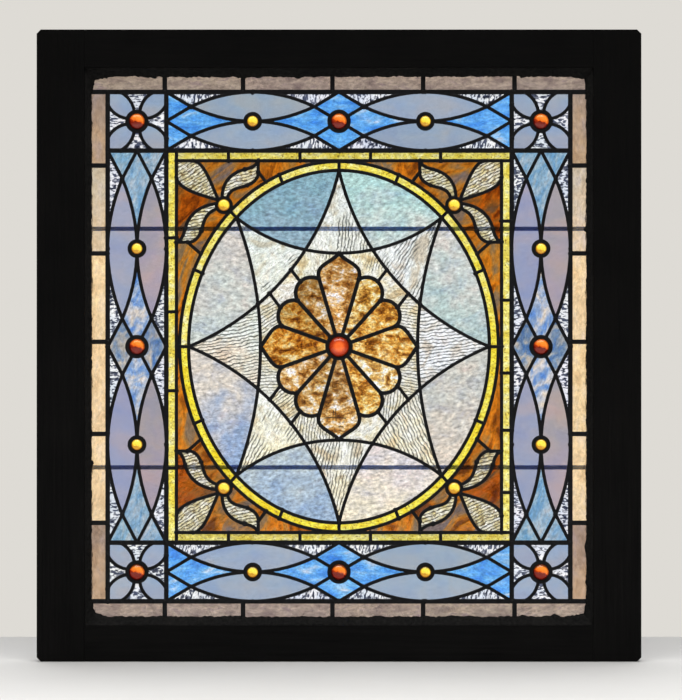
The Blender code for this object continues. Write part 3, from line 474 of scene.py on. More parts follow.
# Bands: lenses in pairs about a yellow jewel, with diamonds and triangles between them
def band(length):
    """One band about its own middle, where the orange jewel is. It reaches length either way along x.

    Two cames cross at each end of a pair of lenses: one bows out to the band's edge, and one bows in
    to the yellow jewel on its middle line. A seventh of the length is straight at each end.
    """
    half = BAND_WIDTH / 2
    quarter = half / 2
    reach = length * 5 / 14
    middle = length / 2
    small, big = jewel_lead(YELLOW_JEWEL), jewel_lead(ORANGE_JEWEL)

    def low(s):
        return np.array([s, quarter * ((s - middle) / reach) ** 2])

    def high(s):
        return np.array([s, half - quarter * ((s - middle) / reach) ** 2])

    near, far = middle - reach, middle + reach
    down = (1, -1)
    ring = ellipse(small, small, (middle, 0))
    s0, deg0 = meet(low, ring, middle + small, 10)
    s1 = 2 * middle - s0
    start, end = low(near), low(far)
    inner_low, outer_low = along(low, near, s1, 2), along(low, s0, far, 2)
    round_top = along(ring, 180 - deg0, deg0, 3, JEWEL_CAME)
    lens_top = along(high, far, near, 5)
    lens = "lens", [inner_low, round_top, outer_low, lens_top]
    to_jewel = meet(bezier(start, (0, 0)), ellipse(big, big), 0.5, 30)[0]
    stop = bezier(start, (0, 0))(to_jewel)
    inner_diamond = "inner_diamond", [
        line(stop, start),
        inner_low,
        round_jewel((middle, 0), small, low(s1), low(s1) * down, 1),
        mirrored(back(inner_low), *down),
        line(start * down, stop * down),
        round_jewel((0, 0), big, stop * down, stop, 1),
    ]
    outer_diamond = "outer_diamond", [
        outer_low,
        line(end, (length, 0)),
        line((length, 0), end * down),
        mirrored(back(outer_low), *down),
        round_jewel((middle, 0), small, low(s0) * down, low(s0), 1),
    ]
    outer_half = "outer_half_diamond", [
        line(end, (length, 0)),
        line((length, 0), (length, half), MAIN_CAME),
        line((length, half), end),
    ]
    inner_triangle = "inner_triangle", [
        line((0, half), start),
        along(high, near, middle, 3),
        line((middle, half), (0, half), MAIN_CAME),
    ]
    outer_triangle = "outer_triangle", [
        along(high, middle, far, 3),
        line(end, (length, half)),
        line((length, half), (middle, half), MAIN_CAME),
    ]
    inner_half = "middle_diamond", [
        line((0, half), start),
        line(start, stop),
        round_jewel((0, 0), big, stop, stop * (-1, 1), 2),
        line(stop * (-1, 1), start * (-1, 1)),
        line(start * (-1, 1), (0, half)),
    ]
    panes = four_ways([lens, outer_half, inner_triangle, outer_triangle])
    diamonds = [inner_diamond, outer_diamond]
    panes += flipped(diamonds, "_a") + flipped(diamonds, "_b", x=-1)
    return panes + flipped([inner_half], "_up") + flipped([inner_half], "_down", z=-1)


def border_bands():
    level, upright = band(BAND_X), band(BAND_Z)
    panes = moved(level, "_top", lambda points: points + (0, BAND_MID_Z))
    panes += moved(level, "_bottom", lambda points: points - (0, BAND_MID_Z))
    panes += moved(upright, "_right", lambda points: points[:, ::-1] + (BAND_MID_X, 0))
    panes += moved(upright, "_left", lambda points: points[:, ::-1] - (BAND_MID_X, 0))
    return panes


# Star: long arcs join the ring's top, bottom and sides, and short arcs join its diagonal points
RING_INSIDE = ellipse(STAR_X, STAR_Z)
TIP = RING_INSIDE(TIP_DEG)
LONG_ARC = bow((0, STAR_Z), (STAR_X, 0), -LONG_BOW)
TOP_ARC = bow(TIP * (-1, 1), TIP, -TOP_BOW)
SIDE_ARC = bow(TIP, TIP * (1, -1), -SIDE_BOW)
HIGH_ON_LONG, HIGH_ON_TOP = meet(LONG_ARC, TOP_ARC, 0.36, 0.67)
LOW_ON_LONG, LOW_ON_SIDE = meet(LONG_ARC, SIDE_ARC, 0.64, 0.33)
FLOWER_SIZE = np.array([SIDE_ARC(0.5)[0], TOP_ARC(0.5)[1]])


def star_points():
    """The four white points on the axes and the four on the diagonals."""
    diagonal = "star_point", [
        along(LONG_ARC, HIGH_ON_LONG, LOW_ON_LONG, 2),
        along(SIDE_ARC, LOW_ON_SIDE, 0, 3),
        along(TOP_ARC, 1, HIGH_ON_TOP, 3),
    ]
    right = along(LONG_ARC, 0, HIGH_ON_LONG, 3)
    north = [right, along(TOP_ARC, HIGH_ON_TOP, 1 - HIGH_ON_TOP, 2), mirrored(back(right), -1, 1)]
    low = along(LONG_ARC, LOW_ON_LONG, 1, 3)
    east = [low, mirrored(back(low), 1, -1), along(SIDE_ARC, 1 - LOW_ON_SIDE, LOW_ON_SIDE, 2)]
    panes = four_ways([diagonal])
    panes += [("star_point_n", north), ("star_point_e", east)]
    return panes + flipped([("star_point_s", north)], "", z=-1) + flipped([("star_point_w", east)], "", x=-1)


def star_fields():
    """The eight panes between the star's points and the ring."""
    upper = "star_field_upper", [
        along(RING_INSIDE, TIP_DEG, 90, 4),
        along(LONG_ARC, 0, HIGH_ON_LONG, 3),
        along(TOP_ARC, HIGH_ON_TOP, 1, 3),
    ]
    lower = "star_field_lower", [
        along(RING_INSIDE, 0, TIP_DEG, 4),
        along(SIDE_ARC, 0, LOW_ON_SIDE, 3),
        along(LONG_ARC, LOW_ON_LONG, 1, 3),
    ]
    return four_ways([upper, lower])


# Flower: twelve petals about the centre jewel
HUB = jewel_lead(CENTRE_JEWEL, FLOWER_CAME)
JOINTS = [np.array(joint) * FLOWER_SIZE for joint in PETAL_JOINTS]
ROUND_ENDS = [bow(JOINTS[0], JOINTS[1], PETAL_BOWS[0]), bow(JOINTS[1], JOINTS[2], PETAL_BOWS[1])]
TOP_OGEE = bezier(JOINTS[0], *(np.array(p) * FLOWER_SIZE for p in END_OGEE), FLOWER_SIZE * (0, 1))
SIDE_OGEE_PATH = bezier(FLOWER_SIZE * (1, 0), *(np.array(p) * FLOWER_SIZE for p in SIDE_OGEE), JOINTS[2])


def flower_petals():
    roots = [toward((0, 0), HUB, joint) for joint in JOINTS]
    spokes = [line(root, joint, FLOWER_CAME) for root, joint in zip(roots, JOINTS)]

    def hub(start, end):
        return round_jewel((0, 0), HUB, start, end, 1, FLOWER_CAME)

    high, low = (along(path, 0, 1, 4, FLOWER_CAME) for path in ROUND_ENDS)
    ogee = along(TOP_OGEE, 0, 1, 4, FLOWER_CAME)
    side_ogee = along(SIDE_OGEE_PATH, 0, 1, 4, FLOWER_CAME)
    upper = "flower_petal_upper", [spokes[0], high, back(spokes[1]), hub(roots[1], roots[0])]
    lower = "flower_petal_lower", [spokes[1], low, back(spokes[2]), hub(roots[2], roots[1])]
    north = [spokes[0], ogee, mirrored(back(ogee), -1, 1), mirrored(back(spokes[0]), -1, 1)]
    north.append(hub(roots[0] * (-1, 1), roots[0]))
    east = [mirrored(spokes[2], 1, -1), mirrored(back(side_ogee), 1, -1), side_ogee, back(spokes[2])]
    east.append(hub(roots[2], roots[2] * (1, -1)))
    panes = four_ways([upper, lower])
    panes += [("flower_petal_n", north), ("flower_petal_e", east)]
    panes += flipped([("flower_petal_s", north)], "", z=-1)
    return panes + flipped([("flower_petal_w", east)], "", x=-1)


def flower_ground():
    """The panes between the petals and the star's inner edge."""
    ends = [path(0.5) for path in ROUND_ENDS]
    high, low = (LONG_ARC(share) for share in SPOKES)
    above = "ground_upper", [
        back(along(TOP_OGEE, 0, 1, 3, FLOWER_CAME)),
        along(ROUND_ENDS[0], 0, 0.5, 2, FLOWER_CAME),
        line(ends[0], high),
        along(LONG_ARC, SPOKES[0], HIGH_ON_LONG, 1),
        along(TOP_ARC, HIGH_ON_TOP, 0.5, 1),
    ]
    between = "ground_diagonal", [
        along(ROUND_ENDS[0], 0.5, 1, 2, FLOWER_CAME),
        along(ROUND_ENDS[1], 0, 0.5, 2, FLOWER_CAME),
        line(ends[1], low),
        along(LONG_ARC, SPOKES[1], SPOKES[0], 1),
        line(high, ends[0]),
    ]
    beside = "ground_lower", [
        along(ROUND_ENDS[1], 0.5, 1, 2, FLOWER_CAME),
        back(along(SIDE_OGEE_PATH, 0, 1, 3, FLOWER_CAME)),
        along(SIDE_ARC, 0.5, LOW_ON_SIDE, 1),
        along(LONG_ARC, LOW_ON_LONG, SPOKES[1], 1),
        line(low, ends[1]),
    ]
    return four_ways([above, between, beside])


# Spandrels: three leaves and a jewel, drawn as shares of the leaves' reach, inwards from the field's corner
REACH = np.array([LEAF_REACH_X * FIELD_X, LEAF_REACH_Z * FIELD_Z])
LEAF_LEAD = jewel_lead(LEAF_JEWEL, FINE_CAME)
FIELD_RING = ellipse(-RING_X, -RING_Z, (FIELD_X, FIELD_Z))
LEAF_CENTRE = toward(FIELD_RING(TIP_DEG), LEAF_LEAD + LEAF_STUB, (0, 0))


def round_leaf_jewel(start, end):
    return round_jewel(LEAF_CENTRE, LEAF_LEAD, start, end, 1, FINE_CAME)


def small_leaf(turned):
    """A small leaf's outer and inner edge, each from the jewel to the tip, in two stretches.

    The outer edge ends on the field's edge, and the inner one meets a came from the ring on its way.
    """
    roots = [90 - deg if turned else deg for deg in (OUTER_ROOT_DEG, INNER_ROOT_DEG)]
    outer_root, inner_root = (ellipse(LEAF_LEAD, LEAF_LEAD, LEAF_CENTRE)(deg) for deg in roots)

    def place(*shares):
        return [np.array(share[::-1] if turned else share) * REACH for share in shares]

    tip = place((1, 0))[0]
    outer, inner = place(*LEAF_OUTER), place(*LEAF_INNER)
    outer_tip, inner_tip = place(*LEAF_TIP_OUTER), place(*LEAF_TIP_INNER)
    return {
        "tip": tip,
        "joint": inner_tip[-1],
        "outer": along(bezier(outer_root, *outer), 0, 1, 3),
        "outer_tip": along(bezier(outer[-1], *outer_tip, tip), 0, 1, 1),
        "inner": along(bezier(inner_root, *inner), 0, 1, 3),
        "inner_tip": along(bezier(inner[-1], *inner_tip), 0, 1, 2),
        "end": line(inner_tip[-1], tip),
    }


def leaf_pane(name, leaf):
    """A small leaf, closed by the jewel's lead between its two roots."""
    outwards = [leaf["outer"], leaf["outer_tip"]]
    homewards = [back(leaf["end"]), back(leaf["inner_tip"]), back(leaf["inner"])]
    root = round_leaf_jewel(leaf["inner"][0][0], leaf["outer"][0][0])
    return name, [*outwards, *homewards, root]


def spandrel():
    mouth = LEAF_MOUTH * REACH
    root = toward(LEAF_CENTRE, LEAF_LEAD, (0, 0))
    near = toward(LEAF_CENTRE, LEAF_LEAD, FIELD_RING(TIP_DEG))
    big_top = along(bezier(mouth * (1, 0), *(np.array(p) * REACH for p in BIG_LEAF), root), 0, 1, 4)
    big_side = along(bezier(mouth * (0, 1), *(np.array(p[::-1]) * REACH for p in BIG_LEAF), root), 0, 1, 4)
    top, side = small_leaf(False), small_leaf(True)
    corners = line(mouth * (0, 1), (0, 0)), line((0, 0), mouth * (1, 0))
    panes = [
        ("leaf_big", [*corners, big_top, back(big_side)]),
        leaf_pane("leaf_top", top),
        leaf_pane("leaf_side", side),
    ]
    half_ways = (("top", top, big_top, 1), ("side", side, big_side, 0))
    for name, leaf, edge, axis in half_ways:
        branch_deg = LEAF_BRANCH_DEG[1 - axis]
        branch = line(leaf["joint"], FIELD_RING(branch_deg))
        corner = np.array([FIELD_X, 0]) if axis else np.array([0, FIELD_Z])
        touch_deg = 90 if axis else 0
        beside = [
            edge,
            round_leaf_jewel(root, leaf["outer"][0][0]),
            leaf["outer"],
            leaf["outer_tip"],
            line(leaf["tip"], edge[0][0]),
        ]
        inner = [
            leaf["inner"],
            leaf["inner_tip"],
            branch,
            along(FIELD_RING, branch_deg, TIP_DEG, 2),
            line(FIELD_RING(TIP_DEG), near),
            round_leaf_jewel(near, leaf["inner"][0][0]),
        ]
        outer = [
            line(leaf["tip"], corner),
            line(corner, FIELD_RING(touch_deg)),
            along(FIELD_RING, touch_deg, branch_deg, 3),
            back(branch),
            leaf["end"],
        ]
        for place, pane in (("beside", beside), ("inner", inner), ("outer", outer)):
            panes.append((f"ground_{place}_{name}", pane))
    return panes


def spandrels():
    return four_ways(moved(spandrel(), "_spandrel", lambda points: (FIELD_X, FIELD_Z) - points))


# Jewels
def jewels():
    """Every jewel's name, place, visible diameter and colour."""
    found = [("jewel_centre", (0, 0), CENTRE_JEWEL, "red")]
    leaf_x, leaf_z = FIELD_X - LEAF_CENTRE[0], FIELD_Z - LEAF_CENTRE[1]
    for z_name, z in (("top", 1), ("bottom", -1)):
        for x_name, x in (("left", -1), ("right", 1)):
            corner = f"{z_name}_{x_name}"
            found += [
                (f"jewel_corner_{corner}", (x * BAND_MID_X, z * BAND_MID_Z), ORANGE_JEWEL, "orange"),
                (f"jewel_leaf_{corner}", (x * leaf_x, z * leaf_z), LEAF_JEWEL, "gold"),
                (f"jewel_{z_name}_band_{x_name}", (x * BAND_X / 2, z * BAND_MID_Z), YELLOW_JEWEL, "gold"),
                (f"jewel_{x_name}_band_{z_name}", (x * BAND_MID_X, z * BAND_Z / 2), YELLOW_JEWEL, "gold"),
            ]
        found.append((f"jewel_{z_name}_middle", (0, z * BAND_MID_Z), ORANGE_JEWEL, "orange"))
    for x_name, x in (("left", -1), ("right", 1)):
        found.append((f"jewel_{x_name}_middle", (x * BAND_MID_X, 0), ORANGE_JEWEL, "orange"))
    return found


def fused_panes():
    """The small panes, which are one thin web with the lead."""
    panes = outer_strips() + corner_squares() + border_bands() + yellow_strips()
    return panes + ring_strips() + flower_ground() + spandrels()


# Meshes
def inside(points, polygon):
    """Which points lie in a closed outline."""
    x, z = np.transpose(points)
    found = np.zeros(len(x), bool)
    for (x0, z0), (x1, z1) in zip(polygon, np.roll(polygon, -1, axis=0)):
        if z0 == z1:
            continue
        spans = (z0 > z) != (z1 > z)
        found ^= spans & (x < (x1 - x0) * (z - z0) / (z1 - z0) + x0)
    return found


def triangles(loops, extra=None):
    """Points and triangles that fill the first loop, as far as the last one if there are more.

    Also gives each point's place in the list of loop points and extra points that it came from.
    """
    given = np.vstack(loops if extra is None else [*loops, extra])
    edges, start = [], 0
    for loop in loops:
        edges += [(start + i, start + (i + 1) % len(loop)) for i in range(len(loop))]
        start += len(loop)
    made = delaunay_2d_cdt([Vector(p) for p in given], edges, [], 0, 1e-7)
    points = np.array([tuple(p) for p in made[0]])
    faces = np.array(made[2])
    middles = points[faces].mean(axis=1)
    kept = inside(middles, loops[0])
    if len(loops) > 1:
        kept &= ~inside(middles, loops[-1])
    source = [ids[0] if ids else -1 for ids in made[3]]
    return points, faces[kept], source


def solid(points, faces, front, rear):
    """A closed mesh between two depths for each point, with a wall along the edges of its faces."""
    count = len(points)
    x, z = points[:, 0], points[:, 1] + MIDDLE_Z
    vertices = np.vstack([np.column_stack([x, front, z]), np.column_stack([x, rear, z])])
    rims = {(face[i - 1], face[i]) for face in faces.tolist() for i in range(3)}
    walls = [(b, a, a + count, b + count) for a, b in rims if (b, a) not in rims]
    turned = [(a + count, c + count, b + count) for a, b, c in faces.tolist()]
    return vertices, [*map(tuple, faces.tolist()), *turned, *walls]


def grown(loop, distance):
    """A closed outline moved outwards a little."""
    ahead = np.roll(loop, -1, axis=0) - loop
    ahead /= np.hypot(*ahead.T)[:, None]
    normals = np.column_stack([ahead[:, 1], -ahead[:, 0]])
    between = normals + np.roll(normals, 1, axis=0)
    return loop + distance * between / np.maximum(np.hypot(*between.T), 0.5)[:, None]


def without_repeats(loop):
    steps = np.hypot(*(loop - np.roll(loop, 1, axis=0)).T)
    return loop[steps > SAME_POINT]


def pane_rows(sides):
    """Outlines over one pane's half of its cames, from their centre lines to the edge of the glass."""
    if area_of(np.vstack([points[:-1] for points, _ in sides])) < 0:
        sides = [back(side) for side in reversed(sides)]
    whole = without_repeats(np.vstack([points[:-1] for points, _ in sides]))
    rows = [grown(whole, OVERLAP)]
    for share in ROW_SHARES[1:]:
        rows.append(without_repeats(opening([(points, came * share) for points, came in sides])))
    return rows


def jewel_rows(centre, diameter):
    came = FLOWER_CAME if diameter == CENTRE_JEWEL else FINE_CAME if diameter == LEAF_JEWEL else JEWEL_CAME
    rows = []
    for share in ROW_SHARES:
        radius = (diameter + came * (1 - share)) / 2 + (OVERLAP if share == 0 else 0)
        path = ellipse(radius, radius, centre)
        rows.append(np.array([path(deg) for deg in range(0, 360, ROUND_STEP_DEG)]))
    return rows


def collar(rows):
    """The rounded lead between a came's centre line and the glass, on both faces."""
    points, faces, source = triangles(rows)
    row_of = np.repeat(np.arange(len(rows)), [len(row) for row in rows])
    fall = CROWN * (1 - np.sqrt(1 - np.array(ROW_SHARES) ** 2))
    falls = np.array([fall[row_of[i]] if i >= 0 else fall[2] for i in source])
    return solid(points, faces, PANEL_FRONT + falls, PANEL_BACK - falls)


def solder(place, seed):
    """A flattened blob of solder that stands through the lead where cames meet."""
    rng = np.random.default_rng(seed)
    reach = SOLDER_REACH * rng.uniform(*SOLDER_VARIES)
    sides = SOLDER_SIDES
    angles = np.linspace(0, 2 * math.pi, sides + 1)[:-1] + rng.uniform(0, 1)
    wobble = rng.uniform(*SOLDER_WOBBLE, sides)
    points, heights = [place], [SOLDER_PEAK]
    for share, height in SOLDER_ROWS:
        radius = share * reach * wobble
        points += list(np.column_stack([radius * np.cos(angles), radius * np.sin(angles)]) + place)
        heights += [height] * sides
    rise = SOLDER_RISE * np.array(heights)
    faces = [(0, 1 + i, 1 + (i + 1) % sides) for i in range(sides)]
    for row in range(len(SOLDER_ROWS) - 1):
        for i in range(sides):
            a, b = 1 + sides * row + i, 1 + sides * row + (i + 1) % sides
            faces += [(a, a + sides, b + sides), (a, b + sides, b)]
    base = CROWN * SOLDER_SUNK
    front = PANEL_FRONT + base - rise - base * (rise > 0)
    return solid(np.array(points), np.array(faces), front, np.full(len(points), PANEL_BACK))


def noise(x, z, size, seed):
    """Smooth noise from 0 to 1, with bumps about size across."""
    lattice = np.random.default_rng(seed).random((LATTICE, LATTICE))
    gx, gz = x / size + LATTICE_START, z / size + LATTICE_START
    ix, iz = np.floor(gx).astype(int), np.floor(gz).astype(int)
    fx, fz = gx - ix, gz - iz
    fx, fz = fx * fx * (3 - 2 * fx), fz * fz * (3 - 2 * fz)

    def at(a, b):
        return lattice[(ix + a) % LATTICE, (iz + b) % LATTICE]

    return (at(0, 0) * (1 - fx) + at(1, 0) * fx) * (1 - fz) + (at(0, 1) * (1 - fx) + at(1, 1) * fx) * fz


def relief(x, z, turn, glass, seed):
    """Height of rolled glass above its mean face: waves across the grain, and finer bumps."""
    along_grain = x * math.cos(turn) + z * math.sin(turn)
    across = z * math.cos(turn) - x * math.sin(turn)
    size = glass["relief_size"]
    waves = noise(along_grain / glass["stretch"], across, size, seed) - 0.5
    bumps = noise(x, z, size * BUMP_SIZE, seed + 1) - 0.5
    return glass["relief"] * (WAVE_SHARE * waves + BUMP_SHARE * bumps)


def pane_solid(sides, glass, turn, seed):
    """One pane, tucked under its cames, with relief on the front."""
    outline = without_repeats(opening(sides, -TUCK))
    pitch = glass["pitch"]
    low, high = outline.min(axis=0), outline.max(axis=0)
    xs = np.arange(low[0], high[0], pitch)
    zs = np.arange(low[1], high[1], pitch * ROW_PITCH)
    grid = np.array([(x + pitch / 2 * (i % 2), z) for i, z in enumerate(zs) for x in xs])
    grid = grid[inside(grid, outline)]
    if len(grid):
        ahead = np.roll(outline, -1, axis=0) - outline
        length = np.maximum(np.sum(ahead**2, axis=1), 1e-12)
        gap = grid[:, None, :] - outline[None]
        share = np.clip(np.sum(gap * ahead, axis=2) / length, 0, 1)
        near = np.linalg.norm(gap - share[..., None] * ahead, axis=2).min(axis=1)
        grid = grid[near > NEAR_OUTLINE * pitch]
    points, faces, _ = triangles([outline], grid if len(grid) else None)
    x, z = points.T
    front = GLASS_FRONT - relief(x, z, turn, glass, seed)
    count = len(points)
    vertices = np.vstack(
        [
            np.column_stack([x, front, z + MIDDLE_Z]),
            np.column_stack([outline[:, 0], np.full(len(outline), GLASS_BACK), outline[:, 1] + MIDDLE_Z]),
        ]
    )
    order = [int(np.argmin(np.hypot(*(points - p).T))) for p in outline]
    rear = list(range(count, count + len(outline)))
    walls = [(order[i], order[i - 1], rear[i - 1], rear[i]) for i in range(len(outline))]
    return vertices, [*map(tuple, faces.tolist()), *walls, tuple(rear[::-1])]


def joined(name, parts, values=(), smooth=True):
    """One object from (vertices, faces) parts.

    values are (attribute, kind, a value for each part or for each point).
    """
    vertices = np.vstack([part[0] for part in parts])
    faces, start = [], 0
    for part in parts:
        faces += [tuple(i + start for i in face) for face in part[1]]
        start += len(part[0])
    mesh = bpy.data.meshes.new(name)
    mesh.from_pydata(vertices.tolist(), [], faces)
    counts = [len(part[0]) for part in parts]
    for attribute, kind, each in values:
        field = "color" if kind == "FLOAT_COLOR" else "vector" if kind == "FLOAT_VECTOR" else "value"
        each = np.array(each, float)
        if len(each) == len(parts):
            each = np.repeat(each, counts, axis=0)
        mesh.attributes.new(attribute, kind, "POINT").data.foreach_set(field, each.ravel())
    if smooth:
        mesh.shade_smooth()
        mesh.set_sharp_from_angle(angle=math.radians(SHARP_DEG))
    obj = bpy.data.objects.new(name, mesh)
    bpy.context.scene.collection.objects.link(obj)
    return obj


# Materials
def lin(*rgb):
    """A colour given as it looks on screen, 0 to 255, as the linear colour that a shader takes."""
    shares = [value / 255 for value in rgb]
    return [s / 12.92 if s <= 0.04045 else ((s + 0.055) / 1.055) ** 2.4 for s in shares] + [1.0]


def add(tree, kind, inputs=None, **settings):
    """A node with its settings and inputs. An input is a value or another node's output."""
    node = tree.nodes.new(kind)
    for key, value in settings.items():
        setattr(node, key, value)
    for key, value in (inputs or {}).items():
        socket = node.inputs[key]
        if isinstance(value, bpy.types.NodeSocket):
            tree.links.new(value, socket)
        else:
            socket.default_value = value
    return node


def ramp(tree, factor, stops):
    node = add(tree, "ShaderNodeValToRGB", {"Fac": factor})
    elements = node.color_ramp.elements
    while len(elements) < len(stops):
        elements.new(0.5)
    for element, (place, colour) in zip(elements, stops):
        element.position = place
        element.color = colour
    return node.outputs["Color"]


def mix(tree, factor, first, second, blend="MIX"):
    node = tree.nodes.new("ShaderNodeMix")
    node.data_type = "RGBA"
    node.blend_type = blend
    for socket, value in ((node.inputs[0], factor), (node.inputs[6], first), (node.inputs[7], second)):
        if isinstance(value, bpy.types.NodeSocket):
            tree.links.new(value, socket)
        else:
            socket.default_value = value
    return node.outputs[2]


def new_material(name, **constants):
    made = bpy.data.materials.new(name)
    made.use_nodes = True
    shader = made.node_tree.nodes["Principled BSDF"]
    for key, value in constants.items():
        shader.inputs[key.replace("_", " ")].default_value = value
    return made, made.node_tree, shader


def read(tree, attribute, output):
    return add(tree, "ShaderNodeAttribute", attribute_name=attribute).outputs[output]


def stretched(tree, vector, sizes):
    """Coordinates counted in pattern sizes, in metres, along each axis."""
    scale = tuple(1 / size for size in sizes)
    return add(tree, "ShaderNodeMapping", {"Vector": vector, "Scale": scale}).outputs["Vector"]


def noise_of(tree, vector, scale=1.0, detail=3.0, roughness=0.5, distortion=0.0):
    inputs = {"Vector": vector, "Scale": scale, "Detail": detail, "Roughness": roughness}
    inputs["Distortion"] = distortion
    return add(tree, "ShaderNodeTexNoise", inputs).outputs["Fac"]


def maths(tree, operation, first, second):
    return add(tree, "ShaderNodeMath", {0: first, 1: second}, operation=operation).outputs[0]


def darkened(tree, colour, where, shade):
    return mix(tree, where, colour, mix(tree, 1.0, colour, lin(*shade), "MULTIPLY"))


def bumped(tree, shader, height, strength, distance):
    bump = add(tree, "ShaderNodeBump", {"Height": height, "Strength": strength, "Distance": distance})
    tree.links.new(bump.outputs["Normal"], shader.inputs["Normal"])


def place_on_pane(tree):
    """Places on a pane, turned to its grain and moved to its own part of the sheet."""
    inputs = {"Vector": add(tree, "ShaderNodeTexCoord").outputs["Object"], "Angle": read(tree, "turn", "Fac")}
    turned = add(tree, "ShaderNodeVectorRotate", inputs, rotation_type="Y_AXIS").outputs["Vector"]
    inputs = {0: turned, 1: read(tree, "shift", "Vector")}
    return add(tree, "ShaderNodeVectorMath", inputs, operation="ADD").outputs["Vector"]


def tinted(tree, place, colour):
    """A colour under its pane's tint, which drifts to the far tint in clouds and down the pane."""
    drift = noise_of(tree, stretched(tree, place, (0.03, 0.03, 0.03)), detail=4.0)
    drift = mix(tree, 0.35, drift, read(tree, "down", "Fac"))
    drift = ramp(tree, drift, [(0.38, BLACK), (0.62, WHITE)])
    tint = mix(tree, drift, read(tree, "tint", "Color"), read(tree, "far_tint", "Color"))
    return mix(tree, 1.0, colour, tint, "MULTIPLY")


def rippled(tree, place, colour, glass):
    """The colour with dark wavy lines in patches, and the lines' height."""
    spacing, width, shade = glass["ripple"]
    inputs = {
        "Vector": place,
        "Scale": 2 * math.pi / (20 * spacing),
        "Distortion": glass["waver"],
        "Detail": 3.0,
        "Detail Scale": glass["waver_scale"],
        "Detail Roughness": 0.7,
    }
    wave = add(tree, "ShaderNodeTexWave", inputs, bands_direction="Z").outputs["Fac"]
    patches = noise_of(tree, stretched(tree, place, (9 * spacing, 5 * spacing, 5 * spacing)), detail=2.0)
    lines = ramp(tree, wave, [(0.0, WHITE), (width, BLACK)])
    spread = maths(tree, "ADD", read(tree, "rippled", "Fac"), patches)
    where = ramp(tree, spread, [(0.92, BLACK), (1.04, WHITE)])
    return darkened(tree, colour, mix(tree, 1.0, lines, where, "MULTIPLY"), shade), wave


def specked(tree, place, colour, glass):
    size, length, threshold, shade = glass["specks"]
    dots = noise_of(tree, stretched(tree, place, (size * length, size, size)), detail=1.0)
    return darkened(tree, colour, ramp(tree, dots, [(threshold, BLACK), (threshold + 0.05, WHITE)]), shade)


def grained(tree, place, colour, glass):
    """The colour with fine grain, and the grain's height."""
    size, strength = glass["fine"]
    fine = noise_of(tree, stretched(tree, place, (size * 1.7, size, size)), detail=2.0, roughness=0.7)
    inputs = {"Value": fine, "From Min": 0.3, "From Max": 0.7, "To Min": 1 - strength, "To Max": 1 + strength}
    level = add(tree, "ShaderNodeMapRange", inputs).outputs["Result"]
    inputs = {0: colour, "Scale": level}
    return add(tree, "ShaderNodeVectorMath", inputs, operation="SCALE").outputs[0], fine


def glass_material(name, glass):
    """Rolled glass: streaks or clouds of its colours, tinted, with ripple lines, specks and grain."""
    made, tree, shader = new_material(
        name, Roughness=glass["rough"], IOR=1.45, Transmission_Weight=glass["clear"]
    )
    place = place_on_pane(tree)
    size = glass["size"]
    streaks = noise_of(
        tree, stretched(tree, place, (size * glass["stretch"], size, size)), detail=glass["detail"],
        roughness=glass["grain"], distortion=glass["distortion"],
    )
    colour = tinted(tree, place, ramp(tree, streaks, [(at, lin(*rgb)) for at, rgb in glass["colours"]]))
    height = streaks
    if "ripple" in glass:
        colour, height = rippled(tree, place, colour, glass)
    if "specks" in glass:
        colour = specked(tree, place, colour, glass)
    colour, fine = grained(tree, place, colour, glass)
    tree.links.new(colour, shader.inputs["Base Color"])
    bumped(tree, shader, maths(tree, "ADD", height, fine), 0.5, glass["bump"])
    return made


def jewel_material(name, top, middle, low, shade_line, unshaded_core):
    """Pressed glass with painted shade: below an uneven line, and from a share of its radius out to the rim.
    """
    made, tree, shader = new_material(name, Roughness=0.12, IOR=1.5, Transmission_Weight=0.9)
    place = read(tree, "place", "Vector")
    # Painted shade: the colour goes from the top colour to the dark low one down the jewel, as if lit from
    # above
    level = add(tree, "ShaderNodeVectorMath", {0: place, 1: (0.35, 0, 1)}, operation="DOT_PRODUCT")
    wobble = noise_of(tree, place, scale=1.6, detail=3.0)
    inputs = {0: wobble, 1: 0.9, 2: level.outputs["Value"]}
    mixed = add(tree, "ShaderNodeMath", inputs, operation="MULTIPLY_ADD").outputs[0]
    stops = [(0.0, lin(*low)), (0.08, lin(*middle)), (0.50, lin(*top))]
    colour = ramp(tree, maths(tree, "ADD", mixed, -0.45 - shade_line), stops)
    # Painted shade that darkens each jewel from a share of its radius out to its rim
    flat = add(tree, "ShaderNodeVectorMath", {0: place, 1: (1, 0, 1)}, operation="MULTIPLY").outputs[0]
    reach = add(tree, "ShaderNodeVectorMath", {0: flat}, operation="LENGTH").outputs["Value"]
    painted_rim_shade = [(unshaded_core, WHITE), ((unshaded_core + 1) / 2, (0.45, 0.22, 0.18, 1)), (1.0, (0.08, 0.03, 0.02, 1))]
    colour = mix(tree, 1.0, colour, ramp(tree, reach, painted_rim_shade), "MULTIPLY")
    tree.links.new(colour, shader.inputs["Base Color"])
    bumped(tree, shader, wobble, 0.4, 0.001)
    return made


def dark_material(name, dark, light, sizes, rough, bump, specular):
    """A near-black surface with streaks or spots of a lighter tone."""
    made, tree, shader = new_material(name, Metallic=0.0, Specular_IOR_Level=specular)
    place = add(tree, "ShaderNodeTexCoord").outputs["Object"]
    grain = noise_of(tree, stretched(tree, place, sizes), detail=6.0, roughness=0.6, distortion=0.3)
    broad = noise_of(tree, stretched(tree, place, (0.09, 0.09, 0.09)), detail=2.0)
    both = mix(tree, 0.35, grain, broad)
    colour = ramp(tree, both, [(0.35, (*dark, 1)), (0.70, (*light, 1))])
    duller, glossier = ((level,) * 3 + (1,) for level in (rough + 0.12, rough - 0.1))
    tree.links.new(colour, shader.inputs["Base Color"])
    tree.links.new(ramp(tree, grain, [(0.3, duller), (0.7, glossier)]), shader.inputs["Roughness"])
    bumped(tree, shader, grain, 0.6, bump)
    return made


